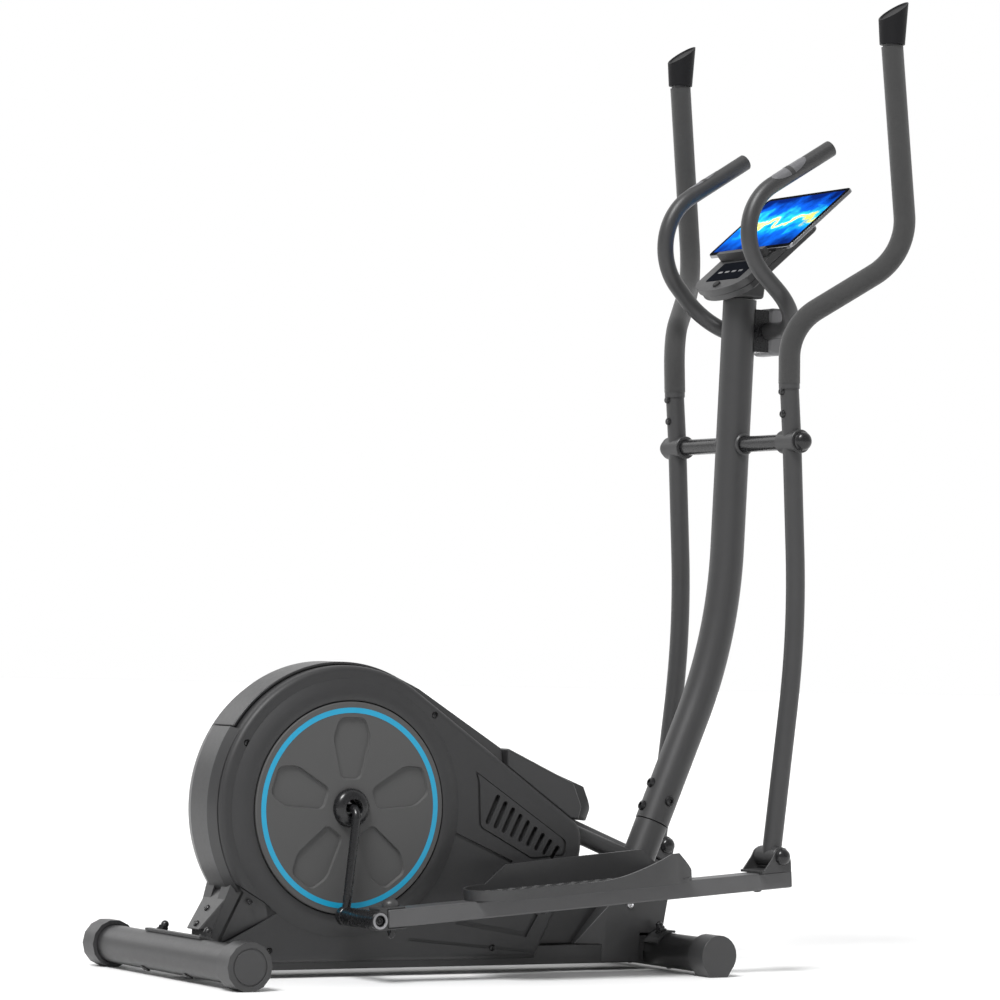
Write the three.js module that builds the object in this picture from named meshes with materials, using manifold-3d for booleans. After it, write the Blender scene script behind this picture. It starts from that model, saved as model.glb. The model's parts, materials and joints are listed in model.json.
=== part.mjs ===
// Elliptical cross trainer: a rear-drive crank and flywheel unit on a floor frame, a bent mast,
// two swing arms with foam handles, two pedal beams with foot plates, a fixed bar and a console.
// Millimetres, +Z up, +X towards the console, +Y to the user's left, z = 0 on the floor.
import * as THREE from "three";
import { mergeVertices } from "three/addons/utils/BufferGeometryUtils.js";
import Module from "manifold-3d";

const wasm = await Module();
wasm.setup();

// ---------------------------------------------------------------- driving dimensions
const GAP = 0.4; // clearance between pieces that touch
const FRAME_MID = 302.05; // from the crank axle forward to the middle of the footprint

const CRANK_Z = 266.7;
const CRANK_THROW = 168.5;
const ARM_IN = 88; // |y| of the crank arm's inner face
const ARM_OUT = 102;

const PIVOT = { x: 760, z: 876 }; // swing arm axle
const HINGE = { x: 735, z: 193 }; // pin between a swing arm and its pedal beam
const SIDE_Y = 172; // |y| of the arms and the pedal beams
const BEAM_PITCH = 4.2; // degrees, the lower pedal beam's rise towards the front

const SHELL_Y = 60; // |y| of the housing's flat sides
const SHELL_TOP_R = 224;
const SHELL_REAR_R = 222;
const SHELL_WALL = 3;
const SHELL_EDGE = 11;
const DISC_R = 167;
const DISC_OUT = 72;

const TUBE_R = 15.8; // swing arm tube
const FOAM_R = 18;
const AXLE_R = 13.5;
const MAST_R = 28.5;
const BAR_R = 14; // fixed handlebar tube

const REAR_X = -265; // rear stabilizer tube
const FRONT_X = 607;
const CONSOLE_TILT = 40.4; // degrees
const CONSOLE_AT = { x: 778, z: 1207 }; // where the tablet's lower edge stands

// Both cranks stand square to the line from the crank axle to the hinge pins, so that the two
// arms stand side by side.
const toHinge = new THREE.Vector2(HINGE.x, HINGE.z - CRANK_Z);
const crankDown = new THREE.Vector2(toHinge.y, -toHinge.x).normalize();
const pitchOf = (pinX, pinZ) => Math.atan2(HINGE.z - pinZ, HINGE.x - pinX);
const lowerPin = crankDown.clone().multiplyScalar(CRANK_THROW);
const pitchLow = pitchOf(lowerPin.x, CRANK_Z + lowerPin.y);
const pitchHigh = pitchOf(-lowerPin.x, CRANK_Z - lowerPin.y);
const LIFT = pitchLow - pitchHigh; // radians between the low and the high pedal beam

// ---------------------------------------------------------------- finishes
const finish = (color, roughness, metalness) => ({ color, roughness, metalness });
const FINISHES = {
  frame: finish(0x4c4c4c, 0.5, 0.4),
  shell: finish(0x4a4a4a, 0.6, 0.0),
  disc: finish(0x565656, 0.55, 0.0),
  black: finish(0x1d1d1f, 0.35, 0.3),
  plastic: finish(0x2c2c2e, 0.5, 0.0),
  foam: finish(0x4a4a4a, 0.9, 0.0),
  steel: finish(0x9a9a9a, 0.35, 1.0),
  iron: finish(0x3b3b3d, 0.6, 0.8),
  rubber: finish(0x1a1a1a, 0.8, 0.0),
};

const machine = new THREE.Group();
machine.position.x = -FRAME_MID;

function add(name, kind, solid, parent = machine) {
  const mesh = new THREE.Mesh(geometryOf(solid), new THREE.MeshStandardMaterial(FINISHES[kind]));
  mesh.name = name;
  parent.add(mesh);
  return mesh;
}

// ---------------------------------------------------------------- solids
const rad = THREE.MathUtils.degToRad;

function solidOf(geometry) {
  const bare = geometry.clone();
  bare.deleteAttribute("normal");
  bare.deleteAttribute("uv");
  const merged = mergeVertices(bare, 1e-3);
  const triVerts = new Uint32Array(merged.index.array);
  const vertProperties = new Float32Array(merged.attributes.position.array);
  const made = new wasm.Manifold(new wasm.Mesh({ numProp: 3, vertProperties, triVerts }));
  if (made.volume() > 0) return made;
  for (let i = 0; i < triVerts.length; i += 3) {
    [triVerts[i], triVerts[i + 1]] = [triVerts[i + 1], triVerts[i]];
  }
  return new wasm.Manifold(new wasm.Mesh({ numProp: 3, vertProperties, triVerts }));
}

function geometryOf(solid) {
  const mesh = solid.getMesh();
  const geometry = new THREE.BufferGeometry();
  geometry.setAttribute("position", new THREE.BufferAttribute(mesh.vertProperties, 3));
  geometry.setIndex(new THREE.BufferAttribute(mesh.triVerts, 1));
  geometry.computeVertexNormals();
  return geometry;
}

// A span of |y| on one side of the machine: side -1 is the right, +1 the left.
const spanY = (side, near, far) => (side < 0 ? [-far, -near] : [near, far]);
const SIDES = [[-1, "right"], [1, "left"]];

const join = (...solids) => solids.reduce((a, b) => a.add(b));
const cut = (solid, ...tools) => tools.reduce((a, b) => a.subtract(b), solid);
const both = (make) => [-1, 1].map(make);

function box(x0, x1, y0, y1, z0, z1) {
  const geometry = new THREE.BoxGeometry(x1 - x0, y1 - y0, z1 - z0);
  geometry.translate((x0 + x1) / 2, (y0 + y1) / 2, (z0 + z1) / 2);
  return solidOf(geometry);
}

// A cylinder about Y, from y0 to y1.
function rodY(radius, x, z, y0, y1, sides = 16) {
  const geometry = new THREE.CylinderGeometry(radius, radius, y1 - y0, sides);
  geometry.translate(x, (y0 + y1) / 2, z);
  return solidOf(geometry);
}

function rodZ(radius, x, y, z0, z1, sides = 12) {
  const geometry = new THREE.CylinderGeometry(radius, radius, z1 - z0, sides);
  geometry.rotateX(Math.PI / 2);
  geometry.translate(x, y, (z0 + z1) / 2);
  return solidOf(geometry);
}

// A tube or ring about Y: an outer rod less an inner one.
const ringY = (outer, inner, x, z, y0, y1, sides = 20) =>
  cut(rodY(outer, x, z, y0, y1, sides), rodY(inner, x, z, y0 - 1, y1 + 1, sides));

// A profile of [radius, y] points turned about Y at (x, z); it starts and ends on the axis.
function turnedY(profile, x, z, sides = 16) {
  const geometry = new THREE.LatheGeometry(profile.map(([r, y]) => new THREE.Vector2(r, y)), sides);
  geometry.translate(x, 0, z);
  return solidOf(geometry);
}

// A shape drawn in x and z, run along Y from y0 to y1.
function slabY(shape, y0, y1, edge = 0, segments = 4) {
  const geometry = new THREE.ExtrudeGeometry(shape, {
    depth: y1 - y0 - 2 * edge,
    curveSegments: segments,
    bevelEnabled: edge > 0,
    bevelSize: edge,
    bevelOffset: -edge,
    bevelThickness: edge,
    bevelSegments: 1,
  });
  geometry.rotateX(Math.PI / 2);
  geometry.translate(0, y1 - edge, 0);
  return solidOf(geometry);
}

// A shape drawn in x and y, run up from z0 to z1.
function slabZ(shape, z0, z1, segments = 6) {
  const geometry = new THREE.ExtrudeGeometry(shape, {
    depth: z1 - z0,
    curveSegments: segments,
    bevelEnabled: false,
  });
  geometry.translate(0, 0, z0);
  return solidOf(geometry);
}

function outline(points) {
  const shape = new THREE.Shape();
  points.forEach(([a, b], i) => (i ? shape.lineTo(a, b) : shape.moveTo(a, b)));
  shape.closePath();
  return shape;
}

function roundedRect(a0, a1, b0, b1, r) {
  const shape = new THREE.Shape();
  shape.moveTo(a0 + r, b0);
  shape.lineTo(a1 - r, b0);
  shape.absarc(a1 - r, b0 + r, r, -Math.PI / 2, 0);
  shape.lineTo(a1, b1 - r);
  shape.absarc(a1 - r, b1 - r, r, 0, Math.PI / 2);
  shape.lineTo(a0 + r, b1);
  shape.absarc(a0 + r, b1 - r, r, Math.PI / 2, Math.PI);
  shape.lineTo(a0, b0 + r);
  shape.absarc(a0 + r, b0 + r, r, Math.PI, 1.5 * Math.PI);
  return shape;
}

// A bent tube's centre line: straight runs joined by arcs, with stations only where it bends.
class BentLine extends THREE.Curve {
  constructor(corners, radii, stepsPerBend = 8) {
    super();
    const points = corners.map((c) => new THREE.Vector3(...c));
    this.stations = [points[0]];
    this.tangents = [points[1].clone().sub(points[0]).normalize()];
    for (let i = 1; i < points.length - 1; i++) {
      const back = points[i - 1].clone().sub(points[i]).normalize();
      const ahead = points[i + 1].clone().sub(points[i]).normalize();
      const turn = Math.PI - back.angleTo(ahead);
      const reach = radii[i - 1] * Math.tan(turn / 2);
      const start = points[i].clone().addScaledVector(back, reach);
      const inward = back.clone().add(ahead).normalize();
      const centre = points[i].clone().addScaledVector(inward, radii[i - 1] / Math.cos(turn / 2));
      const axis = back.clone().cross(ahead).negate().normalize();
      for (let k = 0; k <= stepsPerBend; k++) {
        const angle = (turn * k) / stepsPerBend;
        const arm = start.clone().sub(centre).applyAxisAngle(axis, angle);
        this.stations.push(arm.add(centre));
        this.tangents.push(back.clone().negate().applyAxisAngle(axis, angle));
      }
    }
    this.stations.push(points.at(-1));
    this.tangents.push(points.at(-1).clone().sub(points.at(-2)).normalize());
  }

  get steps() {
    return this.stations.length - 1;
  }

  getPointAt(u) {
    return this.stations[Math.round(u * this.steps)].clone();
  }

  getTangentAt(u) {
    return this.tangents[Math.round(u * this.steps)].clone();
  }
}

// A round tube along a line, solid when the bore is 0.
function tube(line, radius, bore = 0, sides = 12, boreSides = 8) {
  const section = new THREE.Shape().absarc(0, 0, radius, 0, 2 * Math.PI);
  const wall = new THREE.Shape(section.getSpacedPoints(sides).slice(0, -1));
  if (bore > 0) {
    const hole = new THREE.Path().absarc(0, 0, bore, 0, 2 * Math.PI, true);
    wall.holes.push(new THREE.Path(hole.getSpacedPoints(boreSides).slice(0, -1)));
  }
  const geometry = new THREE.ExtrudeGeometry(wall, { steps: line.steps, extrudePath: line });
  return solidOf(geometry);
}

const straight = (from, to) => new BentLine([from, to], []);

// All the room on one side of the machine's middle, half a gap away from it.
const halfSpace = (side) => box(-2000, 2000, ...spanY(side, GAP / 2, 500), -100, 2000);

// ---------------------------------------------------------------- floor frame
const REAR_CAP = { r: 38, sides: 14, mouth: 217, face: 256 };
const FRONT_CAP = { r: 33.5, mouth: 175, face: 217 };
const REAR_CAP_MID = REAR_CAP.r * Math.cos(Math.PI / REAR_CAP.sides); // height when on a flat
const REAR_FOOT = { x: REAR_X, z: REAR_CAP_MID, r: 30, half: 232, lean: 25, boltY: 75, saddle: 95 };
const FRONT_FOOT = { x: FRONT_X, z: 33, r: 28.5, half: 197, lean: -20, boltY: 60, saddle: 78 };
const RAIL_TOP = 42;
const FOOT_HALF = 43.5;
const BRACE = { from: [430, 0, 234], to: [590, 0, 172], r: 14 };

function floorFrame() {
  const rail = cut(
    box(-232, 574, -40, 40, 12, RAIL_TOP),
    box(-240, 600, -37.5, 37.5, 14.5, RAIL_TOP - 2.5),
  );
  add("base_rail", "frame", join(rail, saddle(REAR_FOOT, 1), saddle(FRONT_FOOT, -1)));
  for (const [foot, word] of [[REAR_FOOT, "rear"], [FRONT_FOOT, "front"]]) {
    const pipe = ringY(foot.r, foot.r - 2, foot.x, foot.z, -foot.half, foot.half, 24);
    add(`${word}_foot_tube`, "frame", cut(pipe, ...saddleBolts(foot)));
  }
  for (const [side, word] of SIDES) {
    add(`rear_foot_cap_${word}`, "plastic", rearCap(side));
    add(`front_foot_cap_${word}`, "plastic", frontCap(side));
  }
  add("front_post", "frame", frontPost());
  add("crank_tower", "frame", crankTower());
}

// Holes through a stabilizer tube and its saddle, leaning towards the rail.
const saddleBolts = (foot) =>
  both((side) => {
    const up = new THREE.Vector3(Math.sin(rad(foot.lean)), 0, Math.cos(rad(foot.lean)));
    const middle = new THREE.Vector3(foot.x, side * foot.boltY, foot.z);
    const end = (reach) => middle.clone().addScaledVector(up, reach).toArray();
    return tube(straight(end(-60), end(60)), 4.5, 0, 8);
  });

const SADDLE_THICK = 4;

// A curved plate over a stabilizer tube, with a gusset that joins it to the rail; ahead is 1 when
// the rail lies in front of the tube.
function saddle(foot, ahead) {
  const { x, z, r } = foot;
  const outer = r + 2 * GAP + SADDLE_THICK;
  const shape = new THREE.Shape();
  shape.absarc(x, z, outer, rad(90 - ahead * 68), rad(90 + ahead * 10), ahead < 0);
  shape.lineTo(x, z);
  const gusset = [x + ahead * 20, x + ahead * 40].sort((a, b) => a - b);
  const solid = join(
    slabY(shape, -foot.saddle, foot.saddle, 0, 10),
    box(...gusset, -38, 38, 30, z + r * 0.8),
  );
  return cut(solid, rodY(r + 2 * GAP, x, z, -110, 110, 24), ...saddleBolts(foot));
}

// A many-sided end cap that stands on one of its flats, with a round groove in its face.
function rearCap(side) {
  const { x, z, r, half } = REAR_FOOT;
  const geometry = new THREE.CylinderGeometry(
    REAR_CAP.r, REAR_CAP.r, REAR_CAP.face - REAR_CAP.mouth, REAR_CAP.sides);
  geometry.rotateY(Math.PI / REAR_CAP.sides);
  geometry.translate(x, (side * (REAR_CAP.mouth + REAR_CAP.face)) / 2, z);
  const socket = rodY(r + 2 * GAP, x, z, ...spanY(side, 200, half + GAP), 24);
  const groove = ringY(29, 26.5, x, z, ...spanY(side, REAR_CAP.face - 1.6, 270), 24);
  return cut(solidOf(geometry), socket, groove);
}

// A round end cap with a flat foot under it.
function frontCap(side) {
  const { x, z, r, half } = FRONT_FOOT;
  const span = spanY(side, FRONT_CAP.mouth, FRONT_CAP.face);
  const round = rodY(FRONT_CAP.r, x, FRONT_CAP.r + 1, ...span, 24);
  const foot = slabY(outline([[x - 26, 14], [x - 17, 0], [x + 17, 0], [x + 26, 14]]), ...span);
  return cut(join(round, foot), rodY(r + 2 * GAP, x, z, ...spanY(side, 150, half + GAP), 24));
}

// The box foot under the mast, narrow at its rear and lapped over the rail's sides, with the web
// behind it, the spigot that the mast slides over, and the brace.
function frontPost() {
  const low = RAIL_TOP + GAP;
  const foot = slabY(
    outline([[424, 14], [600, 14], [612, 76], [620, 120], [610, 172], [578, 182], [552, 178], [540, 150]]),
    -FOOT_HALF, FOOT_HALF, 2);
  const flanks = both((side) =>
    slabZ(outline([[400, side * 16], [424, side * 16], [500, side * FOOT_HALF], [500, side * 60],
      [400, side * 60]]), 0, 250));
  const hollow = slabY(outline([[492, 30], [580, 30], [586, 70], [590, 120], [556, 120]]), -34, 34);
  const web = slabY(outline([[372, low], [480, low], [552, 150], [440, 150], [421, 140]]), -14, 14);
  const spigot = tube(straight(mastAt(150), mastAt(320)), MAST_R - 5, MAST_R - 8);
  const brace = tube(straight(BRACE.from, BRACE.to), BRACE.r, 0, 12);
  const railRoom = box(-300, 700, -40 - GAP, 40 + GAP, 0, low);
  const { x, z, r } = FRONT_FOOT;
  const saddleRoom = rodY(r + SADDLE_THICK + 3 * GAP, x, z, -110, 110, 24);
  const gussetRoom = box(x - 42, x, -39, 39, 0, z + r);
  return cut(join(cut(foot, hollow, ...flanks), web, spigot, brace), railRoom, saddleRoom, gussetRoom);
}

// ---------------------------------------------------------------- drive
const FLYWHEEL = { x: 306, z: 178, r: 98 };
const PULLEY_R = 128;
const PINION_R = 16;
const ROLLER_R = 17; // belt tensioner
const BELT = { near: 2, far: 6 }; // the belt's two faces, out from the pulleys
const TOWER = { near: 36, far: 40 };
const CARRIER = { from: 188, to: 252, r: FLYWHEEL.r + 4, thick: 7 };

const carrierPivot = () => {
  const a = rad(CARRIER.to + 8);
  const reach = CARRIER.r + CARRIER.thick / 2;
  return { x: FLYWHEEL.x + reach * Math.cos(a), z: FLYWHEEL.z + reach * Math.sin(a) };
};

// Where the belt's lower run leaves the pulley and meets the pinion, and its outward direction.
function lowerRun() {
  const line = new THREE.Vector2(FLYWHEEL.x, FLYWHEEL.z - CRANK_Z);
  const lean = Math.acos((PULLEY_R - PINION_R) / line.length());
  const out = new THREE.Vector2(1, 0).rotateAround(new THREE.Vector2(), line.angle() - lean);
  const from = out.clone().multiplyScalar(PULLEY_R).add(new THREE.Vector2(0, CRANK_Z));
  const to = out.clone().multiplyScalar(PINION_R).add(new THREE.Vector2(FLYWHEEL.x, FLYWHEEL.z));
  return { from, to, out };
}

function tensionerCentre(radius) {
  const { from, to, out } = lowerRun();
  return from.clone().lerp(to, 0.5).addScaledVector(out, BELT.far + GAP + radius);
}

function beltOutline(grow) {
  const line = new THREE.Vector2(FLYWHEEL.x, FLYWHEEL.z - CRANK_Z);
  const lean = Math.acos((PULLEY_R - PINION_R) / line.length());
  const a = line.angle() - 2 * Math.PI;
  const shape = new THREE.Shape();
  shape.absarc(0, CRANK_Z, PULLEY_R + grow, a + lean, a - lean + 2 * Math.PI);
  shape.absarc(FLYWHEEL.x, FLYWHEEL.z, PINION_R + grow, a - lean, a + lean);
  return shape;
}

// Two plates that carry the crank bearings, the flywheel axle and the tensioner, on a cross tie.
function crankTower() {
  const foot = RAIL_TOP + GAP;
  const { x, z } = FLYWHEEL;
  const plate = outline([[-45, foot], [x - 5, foot], [x + 18, z - 20], [x + 18, z + 18],
    [x - 18, z + 20], [60, 296], [34, 316], [-34, 316], [-58, 296]]);
  const plates = both((side) => slabY(plate, ...spanY(side, TOWER.near, TOWER.far)));
  const tie = box(-30, 60, -37, 37, foot, 50);
  const bearings = rodY(24 + 2 * GAP, 0, CRANK_Z, -60, 60, 20);
  const axle = rodY(6 + GAP, x, z, -60, 60, 12);
  const roller = tensionerCentre(ROLLER_R);
  const pivot = carrierPivot();
  const studs = [rodY(5, roller.x, roller.y, -38, 38, 10), rodY(4, pivot.x, pivot.z, 8, 38, 10)];
  return cut(join(tie, ...plates, ...studs), bearings, axle);
}

function drive() {
  add("crank_axle", "steel", rodY(10, 0, CRANK_Z, -62, 62, 20));
  for (const [side, word] of SIDES) {
    const bearing = ringY(24, 10 + GAP, 0, CRANK_Z, ...spanY(side, 32, 44));
    add(`crank_bearing_${word}`, "steel", bearing);
    add(`crank_arm_${word}`, "black", crankArm(side));
    add(`crank_disc_${word}`, "disc", crankDisc(side));
  }
  const holes = [0, 1, 2, 3, 4].map((i) => {
    const a = (i / 5) * 2 * Math.PI;
    return rodY(26, 70 * Math.cos(a), CRANK_Z + 70 * Math.sin(a), -20, 20, 8);
  });
  const pulley = join(
    ringY(PULLEY_R - 6, 10 + GAP, 0, CRANK_Z, -4, 4),
    ringY(PULLEY_R, PULLEY_R - 14, 0, CRANK_Z, -10, 10, 28),
    ringY(24, 10 + GAP, 0, CRANK_Z, -16, 16),
  );
  add("drive_pulley", "plastic", cut(pulley, ...holes));
  const belt = cut(
    slabY(beltOutline(BELT.far), -8, 8, 0, 12),
    slabY(beltOutline(BELT.near), -9, 9, 0, 12),
  );
  add("drive_belt", "rubber", belt);

  const { x, z, r } = FLYWHEEL;
  add("flywheel_axle", "steel", rodY(6, x, z, -44, 44, 12));
  const wheel = join(
    ringY(r, r - 24, x, z, 13, 33, 32),
    ringY(r - 20, 6 + GAP, x, z, 19, 27, 12),
    ringY(PINION_R, 6 + GAP, x, z, -12, 30, 16),
  );
  add("flywheel", "iron", wheel);
  const roller = tensionerCentre(ROLLER_R);
  add("tensioner_roller", "plastic", ringY(ROLLER_R, 5 + GAP, roller.x, roller.y, -11, 11, 16));
  add("magnet_carrier", "frame", magnetCarrier());
  add("resistance_motor", "plastic", box(150, 196, -32, 20, 44, 84));
}

// An arc that holds the brake magnets round the flywheel's rim, with an eye for its pin.
function magnetCarrier() {
  const { from, to, r, thick } = CARRIER;
  const arc = new THREE.Shape();
  arc.absarc(FLYWHEEL.x, FLYWHEEL.z, r + thick, rad(from), rad(to + 5));
  arc.absarc(FLYWHEEL.x, FLYWHEEL.z, r, rad(to + 5), rad(from), true);
  const pivot = carrierPivot();
  const body = join(slabY(arc, 15, 31, 0, 8), rodY(9, pivot.x, pivot.z, 15, 31, 20));
  return cut(body, rodY(4 + GAP, pivot.x, pivot.z, 0, 60, 12),
    rodY(FLYWHEEL.r + 3, FLYWHEEL.x, FLYWHEEL.z, 0, 60, 32));
}

// A round bar that leaves the axle, bends down and ends in a boss for the pedal beam's sleeve.
function crankArm(side) {
  const mid = (ARM_IN + ARM_OUT) / 2;
  const end = crankDown.clone().multiplyScalar(-side * CRANK_THROW);
  const bend = new BentLine(
    [[0, side * (62 + GAP), CRANK_Z], [0, side * mid, CRANK_Z], [end.x, side * mid, CRANK_Z + end.y]],
    [15],
    4,
  );
  const boss = rodY(15, end.x, CRANK_Z + end.y, ...spanY(side, ARM_IN, ARM_OUT));
  return join(tube(bend, (ARM_OUT - ARM_IN) / 2 - 0.1, 0, 12), boss);
}

// The petal-shaped pocket that the disc repeats five times.
const PETAL = [[-12, 43], [12, 43], [19, 50], [33, 106], [31, 124], [21, 139], [9, 144], [-9, 144],
  [-21, 139], [-31, 124], [-33, 106], [-19, 50]];

function crankDisc(side) {
  const y = (v) => side * v;
  const profile = [[0, 65], [DISC_R, 65], [DISC_R, DISC_OUT - 2], [DISC_R - 2, DISC_OUT],
    [31, DISC_OUT], [30, 79], [25, 84.5], [0, 86]];
  const disc = turnedY(profile.map(([r, v]) => [r, y(v)]), 0, CRANK_Z, 36);
  const pockets = [0, 1, 2, 3, 4].map((i) => {
    const turn = (i / 5) * 2 * Math.PI;
    const at = ([a, b]) => {
      const p = new THREE.Vector2(a, b).rotateAround(new THREE.Vector2(), turn);
      return [p.x, CRANK_Z + p.y];
    };
    return slabY(outline(PETAL.map(at)), ...spanY(side, DISC_OUT - 4, DISC_OUT + 2));
  });
  const hub = rodY(14.5, 0, CRANK_Z, ...spanY(side, 60, 90), 16);
  const groove = ringY(158, 149.5, 0, CRANK_Z, ...spanY(side, DISC_OUT - 1, 80), 36);
  return cut(disc, hub, groove, ...pockets);
}

// ---------------------------------------------------------------- housing
const SLOPE_END = { x: 426, z: 245 }; // where the straight top edge meets the rounded nose
const SLOPE = rad(31.7); // fall of the housing's top edge towards the front

// The shell's side outline, taken in by some millimetres all round.
function shellOutline(inset) {
  const start = Math.PI / 2 - SLOPE;
  const shape = new THREE.Shape();
  shape.moveTo(355 - inset * 1.3, 24 + inset);
  shape.lineTo(437 - inset * 1.1, 188);
  shape.quadraticCurveTo(445 - inset * 1.2, 230, SLOPE_END.x - inset, SLOPE_END.z - inset);
  shape.absarc(0, CRANK_Z, SHELL_TOP_R - inset, start, Math.PI / 2);
  shape.absellipse(0, CRANK_Z, SHELL_REAR_R - inset, SHELL_TOP_R - inset, Math.PI / 2, rad(213));
  shape.lineTo(-176 + inset, 134);
  shape.lineTo(-206 + inset, 64);
  shape.lineTo(-206 + inset, 24 + inset);
  return shape;
}

function housing() {
  const outer = slabY(shellOutline(0), -SHELL_Y, SHELL_Y, SHELL_EDGE, 12);
  const inner = slabY(shellOutline(SHELL_WALL + 1), -SHELL_Y + SHELL_WALL, SHELL_Y - SHELL_WALL,
    SHELL_EDGE - 1, 6);
  const railRoom = box(-300, 600, -40 - GAP, 40 + GAP, 0, RAIL_TOP + GAP);
  const braceRoom = tube(straight(BRACE.from, BRACE.to), BRACE.r + 2 * GAP, 0, 12);
  for (const [side, word] of SIDES) {
    const ring = [[DISC_R + 2, 50], [203, 50], [203, SHELL_Y - 0.5], [178, 70], [DISC_R + 2, 70],
      [DISC_R + 2, 50]];
    const collar = turnedY(ring.map(([r, v]) => [r, side * v]), 0, CRANK_Z, 36);
    const mouth = rodY(DISC_R + 2, 0, CRANK_Z, ...spanY(side, SHELL_Y - 1, 90), 36);
    const seat = rodY(20, 0, CRANK_Z, ...spanY(side, 40, 90));
    const shell = join(cut(outer, inner), collar.intersect(box(-210, 210, -90, 90, 30, 500)));
    const half = shell.intersect(halfSpace(side));
    add(`housing_${word}`, "shell", cut(half, mouth, seat, railRoom, braceRoom, ...vents(side)));
  }
  add("housing_spine", "shell", join(spine(), rearFoot()));
  add("housing_top_strip", "shell", topStrip());
  add("housing_front_cover", "shell", frontCover());
}

// Nine leaning vent slots that grow shorter towards the nose.
function vents(side) {
  const count = 9;
  return Array.from({ length: count }, (_, i) => {
    const t = i / (count - 1);
    const mix = THREE.MathUtils.lerp;
    const top = [mix(273, 388, t), mix(287, 205, t)];
    const foot = [mix(255, 379, t), mix(241, 184, t)];
    return slabY(outline([[foot[0], foot[1]], [foot[0] + 7, foot[1]], [top[0] + 7, top[1]],
      [top[0], top[1]]]), ...spanY(side, 50, 70));
  });
}

// The space that the two shells fill, a gap wider all round.
const shellRoom = () => slabY(shellOutline(-GAP), -80, 80, 0, 12);

// The crowned rear strip over the seam of the shells, below the top strip.
function spine() {
  const profile = [[0, -50], [SHELL_REAR_R + 1, -50], [230, -29], [230, 29], [SHELL_REAR_R + 1, 50],
    [0, 50]];
  const at = (degrees) => [300 * Math.cos(rad(degrees)), CRANK_Z + 300 * Math.sin(rad(degrees))];
  const wedge = slabY(outline([[0, CRANK_Z], at(147), [-330, CRANK_Z], at(216)]), -80, 80);
  return cut(turnedY(profile, 0, CRANK_Z, 48).intersect(wedge), shellRoom());
}

// The tongue under the spine: it narrows towards the rear stabilizer.
function rearFoot() {
  const top = RAIL_TOP + GAP;
  const side = outline([[-150, 141], [-186, 141], [-236, 75], [-224, 75], [-224, top], [-150, top]]);
  const body = slabY(side, -46, 46);
  const flanks = both((side) =>
    slabZ(outline([[-240, side * 20], [-181, side * 46], [-150, side * 46], [-150, side * 80],
      [-240, side * 80]]), 0, 200));
  return cut(body, shellRoom(), ...flanks);
}

// A raised strip along the top edge, thicker on the straight slope.
function topStrip() {
  const shape = new THREE.Shape();
  const start = Math.PI / 2 - SLOPE;
  const base = SHELL_TOP_R + GAP;
  const along = (distance, rise) => {
    const p = new THREE.Vector2(Math.cos(start), Math.sin(start)).multiplyScalar(base + rise);
    p.add(new THREE.Vector2(Math.sin(start), -Math.cos(start)).multiplyScalar(distance));
    return [p.x, CRANK_Z + p.y];
  };
  shape.moveTo(...along(214, 0));
  shape.lineTo(...along(202, 12));
  shape.lineTo(...along(20, 10));
  shape.absarc(0, CRANK_Z, base + 5, start + 0.1, rad(146.5));
  shape.lineTo(0, CRANK_Z + 100);
  return cut(slabY(shape, -34, 34, 0, 12), shellRoom());
}

// The raised block in front of the strip, over the flywheel.
function frontCover() {
  const arcEnd = { x: SHELL_TOP_R * Math.sin(SLOPE), z: CRANK_Z + SHELL_TOP_R * Math.cos(SLOPE) };
  const fall = (arcEnd.z - SLOPE_END.z) / (SLOPE_END.x - arcEnd.x);
  const onShell = (x) => [x, arcEnd.z - (x - arcEnd.x) * fall + 4 * GAP];
  const shape = outline([onShell(302), onShell(424), [441, 246], [446, 268], [430, 306], [302, 363]]);
  const braceRoom = tube(straight(BRACE.from, BRACE.to), BRACE.r + 2 * GAP, 0, 12);
  return cut(slabY(shape, -46, 46, 5), braceRoom);
}

// ---------------------------------------------------------------- mast
const MAST = { foot: { x: 611.6, z: 240 }, knee: { x: 745.6, z: 551.7 }, top: { x: 765.7, z: 1122 } };

// A point on the mast's lower straight, at a height.
function mastAt(z) {
  const { foot, knee } = MAST;
  return [foot.x + ((z - foot.z) * (knee.x - foot.x)) / (knee.z - foot.z), 0, z];
}

function mast() {
  const { foot, knee, top } = MAST;
  const line = new BentLine([[foot.x, 0, foot.z], [knee.x, 0, knee.z], [top.x, 0, top.z]], [800]);
  const axle = rodY(AXLE_R + GAP, PIVOT.x, PIVOT.z, -100, 100);
  add("mast", "frame", cut(tube(line, MAST_R, MAST_R - 2.5, 20), axle));
  const end = [[AXLE_R, 198.5], [15.5, 198.5], [15.5, 203], [12.5, 209], [7, 212.5], [0, 213.5]];
  const profile = [...end.map(([r, y]) => [r, -y]).reverse(), ...end];
  add("arm_axle", "frame", turnedY(profile, PIVOT.x, PIVOT.z));
}

// ---------------------------------------------------------------- swing arms
const ARM_KNEE = { x: 777.5, z: 565 };
const HANDLE_FOOT = { x: 751, z: 972 };
const HANDLE_LOW = [748, 174, 1067];
const HANDLE_HIGH = [878, 319, 1184];
const HANDLE_END = [842, 315, 1524];
const CAP_TOP = 1600;

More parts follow.
